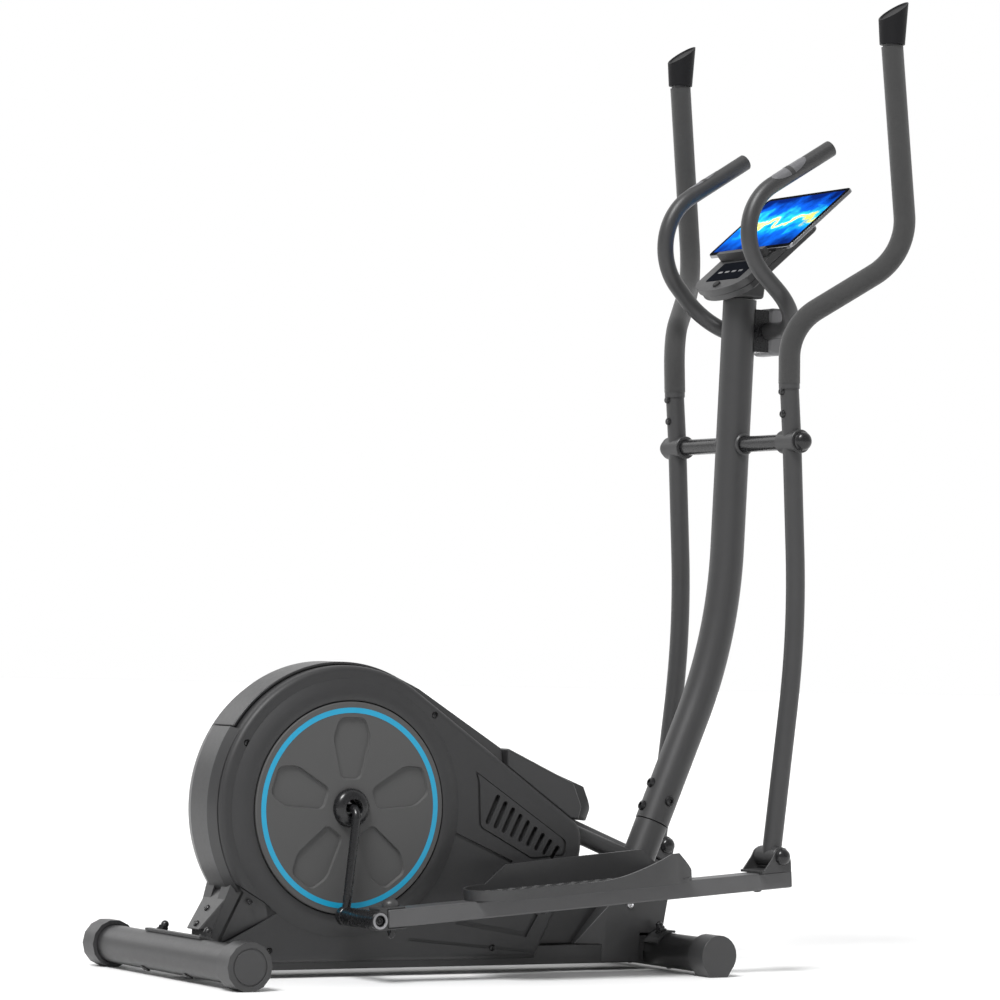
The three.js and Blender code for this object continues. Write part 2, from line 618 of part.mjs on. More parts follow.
function swingArm(side, word) {
  const { x, z } = HANDLE_FOOT;
  const y = side * SIDE_Y;
  const line = new BentLine(
    [[x, y, z - 1.5], [PIVOT.x - 1, y, PIVOT.z], [ARM_KNEE.x, y, ARM_KNEE.z],
      [HINGE.x, y, HINGE.z]], [400, 1500], 5);
  const at = ([a, b, c]) => [a, side * b, c];
  const path = [[x, y, z], at(HANDLE_LOW), at(HANDLE_HIGH), at(HANDLE_END)];
  const rise = new THREE.Vector3(...path[1]).sub(new THREE.Vector3(...path[0])).normalize();
  const alongHandle = (d) => rise.clone().multiplyScalar(d).add(new THREE.Vector3(x, y, z)).toArray();
  const spigot = tube(straight(alongHandle(-30), alongHandle(36)), 11.2, 0, 10);
  const sleeve = rodY(19.5, PIVOT.x, PIVOT.z, ...spanY(side, SIDE_Y - 25, SIDE_Y + 25));
  const barrel = rodY(16, HINGE.x, HINGE.z, ...spanY(side, SIDE_Y - 28, SIDE_Y + 28));
  const bores = join(
    rodY(AXLE_R + GAP, PIVOT.x, PIVOT.z, ...spanY(side, 120, 220)),
    rodY(8 + GAP, HINGE.x, HINGE.z, ...spanY(side, 120, 220), 12),
  );
  const solid = cut(join(tube(line, TUBE_R), spigot, sleeve, barrel), bores);
  add(`lower_arm_${word}`, "frame", solid);

  const tubeLine = new BentLine([...path.slice(0, 3), at([839.7, 314.9, 1546])], [91, 104], 5);
  const foamLine = new BentLine(path, [91, 104], 5);
  add(`upper_handle_${word}`, "frame", tube(tubeLine, TUBE_R, 13.4, 10, 6));
  add(`handle_foam_${word}`, "foam", tube(foamLine, FOAM_R, TUBE_R + GAP, 12, 10));
  add(`handle_cap_${word}`, "black", handleCap(side));
}

// A flared plug over the end of the handle, its top cut on a slant that rises to the front.
function handleCap(side) {
  const [x, y, z] = [HANDLE_END[0], side * HANDLE_END[1], HANDLE_END[2]];
  const base = z + 2.5;
  const flare = new THREE.CylinderGeometry(25.5, 20.8, CAP_TOP - base, 20);
  flare.rotateX(Math.PI / 2);
  flare.translate(x, y, (CAP_TOP + base) / 2);
  const slant = new THREE.BoxGeometry(140, 140, 60);
  slant.translate(0, 0, 30);
  slant.rotateY(rad(-35));
  slant.translate(x + 26, y, CAP_TOP);
  const socket = tube(straight([x + 1, y, z - 10], [x - 2.6, y, z + 23]), TUBE_R + 1);
  return cut(solidOf(flare), solidOf(slant), socket);
}

// ---------------------------------------------------------------- pedal beams
const BEAM = { half: 20, tall: 28, wall: 2, front: 27 };
const PLATE = { rear: -580, front: -180, in: 110, out: 235, floor: 7, rim: 17, wall: 49 };

// The crank pin's place in a pedal beam's own frame, whose origin is the hinge pin.
const CRANK_PIN = new THREE.Vector2(lowerPin.x - HINGE.x, CRANK_Z + lowerPin.y - HINGE.z).rotateAround(
  new THREE.Vector2(), -rad(BEAM_PITCH));
const BEAM_TOP = CRANK_PIN.y + BEAM.tall / 2;

function pedal(side, word) {
  const group = new THREE.Group();
  group.position.set(HINGE.x, 0, HINGE.z);
  group.rotation.y = -rad(BEAM_PITCH) + (side > 0 ? LIFT : 0);
  machine.add(group);

  const mid = side * SIDE_Y;
  const { half, tall, wall, front } = BEAM;
  const rear = CRANK_PIN.x + 24;
  const bar = cut(
    box(rear, front, mid - half, mid + half, BEAM_TOP - tall, BEAM_TOP),
    box(rear - 1, front - wall, mid - half + wall, mid + half - wall, BEAM_TOP - tall + wall,
      BEAM_TOP - wall),
  );
  add(`pedal_beam_${word}`, "frame", bar, group);
  add(`foot_plate_${word}`, "plastic", footPlate(side), group);
  add(`hinge_bracket_${word}`, "frame", hingeBracket(side), group);
  const sleeve = ringY(14.5, 8 + GAP, CRANK_PIN.x, CRANK_PIN.y, ...spanY(side, 103, 208));
  add(`crank_sleeve_${word}`, "black", sleeve, group);
  add(`rear_yoke_${word}`, "frame", rearYoke(side), group);
}

// A channel that holds the beam's rear end against the sleeve.
function rearYoke(side) {
  const { x, y } = CRANK_PIN;
  const [low, high] = [BEAM_TOP - BEAM.tall - GAP, BEAM_TOP + GAP];
  const body = box(x + 9, x + 56, ...spanY(side, SIDE_Y - 17, SIDE_Y + 17), low - 3, high + 3);
  const slot = box(x + 24 - GAP, x + 60, ...spanY(side, 100, 240), low, high);
  return cut(body, slot, rodY(14.5 + 2 * GAP, x, y, ...spanY(side, 100, 240)));
}

// A base plate with two ears that stand on either side of the arm's barrel.
function hingeBracket(side) {
  const base = BEAM_TOP + GAP;
  const ear = outline([[-40, base], [17, base], [17, -8], [14, 6], [7, 14], [-3, 15], [-12, 10],
    [-19, -1]]);
  const ears = both((k) => slabY(ear, side * SIDE_Y + k * 30.5 - 1.5, side * SIDE_Y + k * 30.5 + 1.5));
  const plate = box(-40, 17, ...spanY(side, SIDE_Y - 32, SIDE_Y + 32), base, base + 4);
  return cut(join(plate, ...ears), rodY(8 + GAP, 0, 0, ...spanY(side, 120, 220), 12));
}

function hingePin(side, word) {
  const y = (v) => side * SIDE_Y + v;
  const dome = (k) =>
    turnedY([[0, y(k * 32.5)], [13.5, y(k * 32.5)], [13, y(k * 36)], [9, y(k * 40.5)],
      [4, y(k * 42.5)], [0, y(k * 43)]], HINGE.x, HINGE.z);
  const shank = rodY(8, HINGE.x, HINGE.z, y(-33), y(33), 12);
  add(`hinge_pin_${word}`, "black", join(shank, ...both(dome)));
}

function platePlan(inset) {
  const { rear, front } = PLATE;
  const [a, b] = [PLATE.in + inset, PLATE.out - inset];
  const mid = (a + b) / 2;
  const shape = new THREE.Shape();
  shape.moveTo(rear + 66, a);
  shape.lineTo(front - 22, a);
  shape.quadraticCurveTo(front - inset, a, front - inset, a + 22);
  shape.lineTo(front - inset, b - 34);
  shape.quadraticCurveTo(front - inset, b - 18, front - 34, b - 10);
  shape.quadraticCurveTo(front - 60, b, front - 84, b);
  shape.lineTo(rear + 66, b);
  shape.bezierCurveTo(rear + 24, b, rear + inset, mid + 22, rear + inset, mid);
  shape.bezierCurveTo(rear + inset, mid - 22, rear + 24, a, rear + 66, a);
  return shape;
}

// A tray for the foot: low at the heel and outside, high on the inside and round the toe.
function footPlate(side) {
  const { floor, rim, wall } = PLATE;
  const z = (v) => BEAM_TOP + v;
  const turn = (solid) => (side > 0 ? solid : solid.mirror([0, 1, 0]));
  const block = slabZ(platePlan(0), z(GAP), z(wall), 8);
  const well = slabZ(platePlan(4.5), z(floor), z(wall + 10), 8);
  const above = z(wall + 12);
  const outside = slabY(outline([[-600, z(rim)], [-373, z(rim)], [-340, z(19)], [-300, z(28)],
    [-262, z(41)], [-232, z(wall)], [-232, above], [-600, above]]), SIDE_Y, PLATE.out + 5);
  const inside = slabY(outline([[-600, z(rim)], [-512, z(rim)], [-472, z(45)], [-400, z(47)],
    [-232, z(wall)], [-232, above], [-600, above]]), PLATE.in - 5, SIDE_Y + 0.01);
  const toe = slabY(outline([[-214, z(wall)], [-180, z(15)], [-150, z(15)], [-150, above],
    [-214, above]]), PLATE.in - 5, PLATE.out + 5);
  return turn(cut(block, well, outside, inside, toe));
}

// ---------------------------------------------------------------- fixed bar
const BAR = { end: [856, 127, 1375], rear: [634, 121, 1238], low: [809, 143, 1070] };

function fixedBar() {
  const flip = ([x, y, z]) => [x, -y, z];
  const { end, rear, low } = BAR;
  const line = new BentLine([end, rear, low, flip(low), flip(rear), flip(end)], [98, 79, 79, 98], 5);
  add("fixed_bar", "frame", tube(line, BAR_R, BAR_R - 2, 12, 6));
  const mastLine = straight(mastUpper(1000), mastUpper(1122));
  const bar = rodY(BAR_R + 2 * GAP, low[0], low[2], -60, 60);
  const post = tube(mastLine, MAST_R + 2 * GAP, 0, 20);
  add("bar_bracket", "black", cut(box(770, low[0], -24, 24, 1034, 1106), bar, post));
  const cover = slabY(roundedRect(low[0] + GAP, 841, 1030, 1110, 10), -27, 27, 4);
  add("bar_clamp_cover", "plastic", cut(cover, bar));
}

// A point on the mast's upper straight, at a height.
function mastUpper(z) {
  const { knee, top } = MAST;
  return [knee.x + ((z - knee.z) * (top.x - knee.x)) / (top.z - knee.z), 0, z];
}

// ---------------------------------------------------------------- console
const FACE = -8; // the console's face lies this far under the tablet's screen

function consolePlan(inset) {
  const half = 76 - inset;
  const shape = new THREE.Shape();
  shape.moveTo(-70, -half);
  shape.lineTo(84, -half);
  shape.quadraticCurveTo(108 - inset, -half, 108 - inset, -half + 26);
  shape.lineTo(108 - inset, half - 26);
  shape.quadraticCurveTo(108 - inset, half, 84, half);
  shape.lineTo(-70, half);
  shape.bezierCurveTo(-92 + inset, half - 6, -103 + inset, 34, -103 + inset, 0);
  shape.bezierCurveTo(-103 + inset, -34, -92 + inset, -half + 6, -70, -half);
  return shape;
}

function consoleUnit() {
  const group = new THREE.Group();
  group.position.set(CONSOLE_AT.x, 0, CONSOLE_AT.z);
  group.rotation.y = -rad(CONSOLE_TILT);
  group.updateMatrix();
  machine.add(group);

  const key = { s: -86, r: 7 };
  const hole = rodZ(key.r + GAP, key.s, 0, FACE - 9, FACE + 5);
  const pocket = slabZ(roundedRect(-73 - GAP, -21 + GAP, -50 - GAP, 50 + GAP, 5), FACE - 1.6, 20, 4);
  const face = slabZ(consolePlan(0), FACE - 12, FACE, 8);
  add("console_face", "plastic", cut(face, hole, pocket), group);
  const glass = slabZ(roundedRect(-73, -21, -50, 50, 5), FACE - 1.2, FACE + 0.4, 4);
  add("console_display", "black", glass, group);
  add("mode_key", "rubber", rodZ(key.r, key.s, 0, FACE - 6, FACE + 3), group);
  const ledge = join(box(-14, -6, -70, 70, FACE + GAP, 8), box(-14, -1, -70, 70, FACE + GAP, FACE + 3));
  add("tablet_ledge", "plastic", ledge, group);
  const pane = slabZ(roundedRect(GAP, 167, -122, 122, 9), FACE + GAP, -0.6, 4);
  add("tablet", "black", pane, group);

  const under = (x) => CONSOLE_AT.z + (x - CONSOLE_AT.x) * Math.tan(rad(CONSOLE_TILT)) - 36;
  const topZ = MAST.top.z + 2;
  const head = slabY(outline([[736, topZ], [798, topZ], [808, under(808)], [738, under(738)]]), -26, 26);
  const spigot = tube(straight(mastUpper(1085), mastUpper(topZ + 4)), MAST_R - 5, 0);
  const back = slabZ(consolePlan(3), FACE - 25, FACE - 12 - GAP, 8);
  const turned = back.transform(group.matrix.toArray());
  add("console_back", "plastic", join(turned, head, spigot));
}

floorFrame();
drive();
housing();
mast();
for (const [side, word] of SIDES) {
  swingArm(side, word);
  hingePin(side, word);
  pedal(side, word);
}
fixedBar();
consoleUnit();

const part = new THREE.Group();
part.name = "elliptical_trainer";
part.add(machine);

export default part;
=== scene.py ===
"""Finish and detail for an elliptical cross trainer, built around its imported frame.

Shapes are worked out in the machine's own frame, in millimetres: x forward from the crank
axle, y to the user's left, z up from the floor. ROW takes them to the frame's metres.
"""

import json
import math

import bmesh
import bpy
from bpy.props import FloatProperty, FloatVectorProperty, PointerProperty
from bpy.types import Operator, Panel, PropertyGroup
from mathutils import Matrix, Vector
from mathutils.geometry import interpolate_bezier


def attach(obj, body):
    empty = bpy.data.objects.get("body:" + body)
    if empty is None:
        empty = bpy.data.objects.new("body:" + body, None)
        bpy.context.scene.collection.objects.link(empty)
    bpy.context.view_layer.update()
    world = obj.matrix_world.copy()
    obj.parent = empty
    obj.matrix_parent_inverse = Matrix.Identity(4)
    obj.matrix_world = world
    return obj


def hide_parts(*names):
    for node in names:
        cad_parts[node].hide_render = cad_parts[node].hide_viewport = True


bl_info = {
    "name": "Elliptical trainer finish",
    "version": (1, 0, 0),
    "blender": (4, 5, 0),
    "location": "View3D > Sidebar > Trainer",
    "description": "Builds the visible pieces and the studio for an elliptical trainer",
    "category": "Object",
}

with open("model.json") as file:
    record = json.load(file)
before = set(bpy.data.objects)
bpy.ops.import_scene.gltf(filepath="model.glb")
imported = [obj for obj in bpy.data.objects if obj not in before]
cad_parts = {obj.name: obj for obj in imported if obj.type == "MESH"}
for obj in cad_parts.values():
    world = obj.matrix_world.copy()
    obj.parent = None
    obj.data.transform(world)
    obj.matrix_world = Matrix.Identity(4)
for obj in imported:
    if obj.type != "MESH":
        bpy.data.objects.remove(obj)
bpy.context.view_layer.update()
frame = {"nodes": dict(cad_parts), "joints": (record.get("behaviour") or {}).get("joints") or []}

SIDES = ((-1, "right"), (1, "left"))
JOINTS = {joint["name"]: Vector(joint["pos_m"]) for joint in frame["joints"] if "pos_m" in joint}
AXLE_X = JOINTS["crank_spin"].x
ROW = Matrix.Translation((AXLE_X, 0, 0)) @ Matrix.Diagonal((0.001, 0.001, 0.001, 1))


def machine(joint):
    """A joint's place in the machine's frame, x and z in millimetres."""
    place = ROW.inverted() @ JOINTS[joint]
    return place.x, place.z


CRANK_Z = machine("crank_spin")[1]
PIVOT = machine("swing_right")
HINGE = machine("pedal_lift_right")

# Radii of the swing arms' tubes, the fixed bar and the mast.
TUBE_R = 15.8
BAR_R = 14.0
MAST_R = 28.5
# The swing arms' planes lie this far each side of the middle.
ARM_Y = 172.0
DISC_R = 167.0
DISC_FACE = 72.0
# The housing: its half width, its round back and top, and the slope that runs down to its nose.
SHELL_Y = 60.0
TOP_R = 224.0
REAR_R = 222.0
SLOPE = math.radians(31.7)
SLOPE_END = (426, 245)
HOUSING_SCREWS = ((-165, 120), (-131, 44), (-179, 367), (156, 414), (273, 42))
VENT_PANEL = ((232, 327), (238, 311), (242, 236), (344, 183), (407, 189), (408, 213))
VENT_WINDOW = ((228, 331), (233, 309), (237, 233), (343, 179), (411, 186), (412, 215))
VENT_SLOTS = 9
# Corners of the slanted facet at the foot of the housing's back, as x, |y| and z.
FLARE = ((-115, 60.5, 104.5), (-190, 42, 152), (-226, 26, 42.6))
# The crank's throw, and the pedals' pitch when low and their lift when high.
THROW = 168.5
LOW_PITCH = math.radians(4.2)
LIFT = math.radians(25.7)
BEAM_TALL = 28.0
BEAM_HALF = 20.0
# The console's plane: its tilt, a point in it and the height of its face over that point.
CONSOLE_TILT = math.radians(40.4)
CONSOLE_AT = (778.0, 1207.0)
CONSOLE_FACE = -8.0

reach = Vector((HINGE[0], HINGE[1] - CRANK_Z))
# From the crank axle to the low crank pin, square to the line that runs to the hinge.
DOWN = Vector((reach.y, -reach.x)).normalized() * THROW


# ---------------------------------------------------------------- outlines
def polar(radius, degrees, centre=(0.0, 0.0)):
    angle = math.radians(degrees)
    return (centre[0] + radius * math.cos(angle), centre[1] + radius * math.sin(angle))


def arc(radius_x, radius_z, start, end, centre=(0.0, CRANK_Z), steps=24):
    """Points along an arc, in degrees, with its own radius in each direction."""
    out = []
    for i in range(steps + 1):
        angle = math.radians(start + (end - start) * i / steps)
        out.append((centre[0] + radius_x * math.cos(angle), centre[1] + radius_z * math.sin(angle)))
    return out


def curve(a, b, c, d, steps=10):
    """Points along a cubic curve from a to d, without its first point."""
    points = [Vector((*p, 0)) for p in (a, b, c, d)]
    return [tuple(p[:2]) for p in interpolate_bezier(*points, steps)[1:]]


def rounded(points, radius, steps=6):
    """A closed outline with each corner turned to an arc."""
    out = []
    count = len(points)
    for i, corner in enumerate(points):
        p = Vector(corner)
        back = (Vector(points[i - 1]) - p).normalized()
        ahead = (Vector(points[(i + 1) % count]) - p).normalized()
        out.append(tuple(p + back * radius))
        handle = radius * 0.45
        out += curve(p + back * radius, p + back * handle, p + ahead * handle, p + ahead * radius, steps)
    return out


def bent(corners, radii, step=6.0):
    """A line of straight runs joined by arcs, with a point about every step millimetres of arc."""
    points = [Vector(c) for c in corners]
    line = [points[0]]
    for i in range(1, len(points) - 1):
        back = (points[i - 1] - points[i]).normalized()
        ahead = (points[i + 1] - points[i]).normalized()
        turn = math.pi - back.angle(ahead)
        radius = radii[i - 1]
        start = points[i] + back * radius * math.tan(turn / 2)
        centre = points[i] + (back + ahead).normalized() * radius / math.cos(turn / 2)
        axis = -back.cross(ahead).normalized()
        steps = max(4, round(radius * turn / step))
        for k in range(steps + 1):
            line.append(centre + Matrix.Rotation(turn * k / steps, 3, axis) @ (start - centre))
    line.append(points[-1])
    return line


# ---------------------------------------------------------------- meshes
def prism(points, y0, y1, axis="Y"):
    """A closed outline in x and z run along Y, or in x and y run along Z."""
    bm = bmesh.new()
    if axis == "Y":
        ring = [bm.verts.new((a, y0, b)) for a, b in points]
        step = Vector((0, y1 - y0, 0))
    else:
        ring = [bm.verts.new((a, b, y0)) for a, b in points]
        step = Vector((0, 0, y1 - y0))
    face = bm.faces.new(ring)
    grown = bmesh.ops.extrude_face_region(bm, geom=[face])["geom"]
    bmesh.ops.translate(bm, verts=[v for v in grown if isinstance(v, bmesh.types.BMVert)], vec=step)
    bmesh.ops.recalc_face_normals(bm, faces=bm.faces)
    return bm


def lathe(profile, x, z, steps=64, sweep=360.0, start=0.0):
    """A [radius, y] profile spun about the Y line through (x, z); less than a full turn is capped."""
    bm = bmesh.new()
    place = Matrix.Translation((x, 0, z)) @ Matrix.Rotation(-math.radians(start), 4, "Y")
    verts = [bm.verts.new(place @ Vector((r, y, 0))) for r, y in profile]
    edges = [bm.edges.new(pair) for pair in zip(verts, verts[1:])]
    full = sweep >= 360
    bmesh.ops.spin(
        bm, geom=verts + edges, cent=(x, 0, z), axis=(0, -1, 0), angle=math.radians(sweep),
        steps=steps, use_merge=full, use_duplicate=False,
    )
    bmesh.ops.remove_doubles(bm, verts=bm.verts, dist=0.001)
    if not full:
        bmesh.ops.holes_fill(bm, edges=[e for e in bm.edges if e.is_boundary], sides=0)
    bmesh.ops.recalc_face_normals(bm, faces=bm.faces)
    return bm


def on_side(profile, side):
    """A [radius, y] profile for one side of the machine: side is -1 on the right and 1 on the left."""
    return [(r, side * y) for r, y in profile]


def ring_section(bore, radius, near, far, chamfer=0.0):
    """The closed [radius, y] profile of a ring, with its two outer corners chamfered."""
    outer = [(radius - chamfer, near), (radius - chamfer, far)]
    if chamfer:
        outer = [outer[0], (radius, near + 1), (radius, far - 1), outer[1]]
    return [(bore, near), *outer, (bore, far), (bore, near)]


def tube(line, radius, bore=0.0, sides=32):
    """A round tube along a line of points; with a bore its ends are open."""
    data = bpy.data.curves.new("tube", "CURVE")
    data.dimensions = "3D"
    data.bevel_depth = radius
    data.bevel_resolution = sides // 4
    data.use_fill_caps = bore == 0
    spline = data.splines.new("POLY")
    spline.points.add(len(line) - 1)
    for point, place in zip(spline.points, line):
        point.co = (*place, 1)
    carrier = bpy.data.objects.new("tube", data)
    bpy.context.scene.collection.objects.link(carrier)
    mesh = bpy.data.meshes.new_from_object(carrier.evaluated_get(bpy.context.evaluated_depsgraph_get()))
    bpy.data.objects.remove(carrier)
    bm = bmesh.new()
    bm.from_mesh(mesh)
    bpy.data.meshes.remove(mesh)
    bmesh.ops.remove_doubles(bm, verts=bm.verts, dist=0.001)
    bmesh.ops.recalc_face_normals(bm, faces=bm.faces)
    if bore > 0:
        bmesh.ops.solidify(bm, geom=bm.faces[:], thickness=radius - bore)
        bmesh.ops.recalc_face_normals(bm, faces=bm.faces)
    return bm


def merged(*parts):
    """Several bmeshes as one."""
    out = bmesh.new()
    for part in parts:
        mesh = bpy.data.meshes.new("part")
        part.to_mesh(mesh)
        part.free()
        out.from_mesh(mesh)
        bpy.data.meshes.remove(mesh)
    return out


def cad_copy(node):
    """A CAD node's mesh in machine millimetres, merged, with its flat faces made whole."""
    bm = bmesh.new()
    bm.from_mesh(frame["nodes"][node].data)
    bmesh.ops.transform(bm, matrix=ROW.inverted(), verts=bm.verts)
    bmesh.ops.remove_doubles(bm, verts=bm.verts, dist=0.01)
    bmesh.ops.dissolve_limit(bm, angle_limit=math.radians(1), verts=bm.verts, edges=bm.edges)
    return bm


def carve(bm, *cutters):
    """A bmesh less some others."""
    objects = []
    for part in (bm, merged(*cutters)):
        mesh = bpy.data.meshes.new("carve")
        part.to_mesh(mesh)
        part.free()
        objects.append(bpy.data.objects.new("carve", mesh))
        bpy.context.scene.collection.objects.link(objects[-1])
    body, cutter = objects
    modifier = body.modifiers.new("cut", "BOOLEAN")
    modifier.object = cutter
    modifier.solver = "EXACT"
    modifier.use_self = True
    result = bpy.data.meshes.new_from_object(body.evaluated_get(bpy.context.evaluated_depsgraph_get()))
    out = bmesh.new()
    out.from_mesh(result)
    for thing in objects:
        mesh = thing.data
        bpy.data.objects.remove(thing)
        bpy.data.meshes.remove(mesh)
    bpy.data.meshes.remove(result)
    return out


def piece(name, bm, body, finish, replaces=(), bevel=0.0, segments=2, place=ROW, smooth=35.0):
    """Turns a bmesh into a finished piece of the trainer, riding on a body."""
    bmesh.ops.transform(bm, matrix=place, verts=bm.verts)
    mesh = bpy.data.meshes.new(name)
    bm.to_mesh(mesh)
    bm.free()
    mesh.shade_smooth()
    mesh.set_sharp_from_angle(angle=math.radians(smooth))
    obj = bpy.data.objects.new(name, mesh)
    bpy.context.scene.collection.objects.link(obj)
    mesh.materials.append(FINISHES[finish]())
    if bevel:
        modifier = obj.modifiers.new("edges", "BEVEL")
        modifier.width = bevel / 1000
        modifier.segments = segments
        modifier.limit_method = "ANGLE"
        modifier.angle_limit = math.radians(30)
        modifier.harden_normals = True
    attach(obj, body)
    if replaces:
        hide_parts(*replaces)
    return obj


# ---------------------------------------------------------------- finishes
def colours():
    return bpy.context.scene.trainer_colours


def surface(
        name, colour, rough, metal=0.0, grain=0.0, grain_size=1.0, blotch=0.1, coat=0.0, shine=1.0):
    """A painted or moulded surface: uneven colour and sheen, and a fine grain of given depth."""
    if name in bpy.data.materials:
        return bpy.data.materials[name]
    material = bpy.data.materials.new(name)
    material.use_nodes = True
    nodes, links = material.node_tree.nodes, material.node_tree.links
    shader = nodes["Principled BSDF"]
    shader.inputs["Metallic"].default_value = metal
    shader.inputs["Coat Weight"].default_value = coat
    shader.inputs["Specular IOR Level"].default_value = 0.5 * shine
    place = nodes.new("ShaderNodeTexCoord").outputs["Object"]

    def noise(scale, detail=3.0):
        node = nodes.new("ShaderNodeTexNoise")
        node.inputs["Scale"].default_value = scale
        node.inputs["Detail"].default_value = detail
        links.new(place, node.inputs["Vector"])
        return node.outputs["Fac"]

    tone = nodes.new("ShaderNodeMix")
    tone.data_type = "RGBA"
    tone.inputs[6].default_value = (*[c * (1 - blotch) for c in colour], 1)
    tone.inputs[7].default_value = (*[min(1, c * (1 + blotch)) for c in colour], 1)
    links.new(noise(35.0, 5.0), tone.inputs[0])
    links.new(tone.outputs[2], shader.inputs["Base Color"])
    span = nodes.new("ShaderNodeMapRange")
    span.inputs["To Min"].default_value = max(0.03, rough - 0.07)
    span.inputs["To Max"].default_value = rough + 0.07
    links.new(noise(160.0), span.inputs["Value"])
    links.new(span.outputs["Result"], shader.inputs["Roughness"])
    if grain:
        bump = nodes.new("ShaderNodeBump")
        bump.inputs["Strength"].default_value = 0.5
        bump.inputs["Distance"].default_value = grain / 1000
        links.new(noise(1000.0 / grain_size, 2.0), bump.inputs["Height"])
        links.new(bump.outputs["Normal"], shader.inputs["Normal"])
    return material


def foam():
    """Closed-cell foam: small round cells over a matt skin."""
    if "foam" in bpy.data.materials:
        return bpy.data.materials["foam"]
    material = surface("foam", colours().foam, 0.85, blotch=0.12)
    nodes, links = material.node_tree.nodes, material.node_tree.links
    shader = nodes["Principled BSDF"]
    shader.inputs["Sheen Weight"].default_value = 0.25
    place = nodes.new("ShaderNodeTexCoord").outputs["Object"]
    cells = nodes.new("ShaderNodeTexVoronoi")
    cells.inputs["Scale"].default_value = 750.0
    links.new(place, cells.inputs["Vector"])
    bump = nodes.new("ShaderNodeBump")
    bump.inputs["Strength"].default_value = 0.6
    bump.inputs["Distance"].default_value = 0.0006
    links.new(cells.outputs["Distance"], bump.inputs["Height"])
    links.new(bump.outputs["Normal"], shader.inputs["Normal"])
    return material


def screen():
    """The tablet's picture: deep blue with a bright wandering band."""
    if "tablet_picture" in bpy.data.materials:
        return bpy.data.materials["tablet_picture"]
    material = bpy.data.materials.new("tablet_picture")
    material.use_nodes = True
    nodes, links = material.node_tree.nodes, material.node_tree.links
    shader = nodes["Principled BSDF"]
    shader.inputs["Roughness"].default_value = 0.3
    shader.inputs["Specular IOR Level"].default_value = 0.0
    coords = nodes.new("ShaderNodeUVMap")
    coords.uv_map = "screen"
    warp = nodes.new("ShaderNodeTexNoise")
    warp.inputs["Scale"].default_value = 3.2
    warp.inputs["Detail"].default_value = 6.0
    links.new(coords.outputs["UV"], warp.inputs["Vector"])
    split = nodes.new("ShaderNodeSeparateXYZ")
    links.new(coords.outputs["UV"], split.inputs["Vector"])
    centre = nodes.new("ShaderNodeMath")
    centre.operation = "MULTIPLY_ADD"
    centre.inputs[1].default_value = 0.9
    centre.inputs[2].default_value = -0.42
    links.new(warp.outputs["Fac"], centre.inputs[0])
    offset = nodes.new("ShaderNodeMath")
    offset.operation = "ADD"
    links.new(split.outputs["Y"], offset.inputs[0])
    links.new(centre.outputs["Value"], offset.inputs[1])
    ramp = nodes.new("ShaderNodeValToRGB")
    ramp.color_ramp.elements[0].position = 0.0
    ramp.color_ramp.elements[0].color = (0.003, 0.02, 0.16, 1)
    ramp.color_ramp.elements[1].position = 1.0
    ramp.color_ramp.elements[1].color = (0.002, 0.012, 0.11, 1)
    for place, colour in (
        (0.30, (0.004, 0.11, 0.62, 1)), (0.42, (0.01, 0.42, 0.85, 1)), (0.49, (0.75, 0.72, 0.10, 1)),
        (0.53, (0.85, 0.80, 0.22, 1)), (0.60, (0.02, 0.50, 0.75, 1)), (0.74, (0.004, 0.09, 0.60, 1)),
    ):
        element = ramp.color_ramp.elements.new(place)
        element.color = colour
    links.new(offset.outputs["Value"], ramp.inputs["Fac"])
    links.new(ramp.outputs["Color"], shader.inputs["Base Color"])
    links.new(ramp.outputs["Color"], shader.inputs["Emission Color"])
    shader.inputs["Emission Strength"].default_value = 0.7
    return material


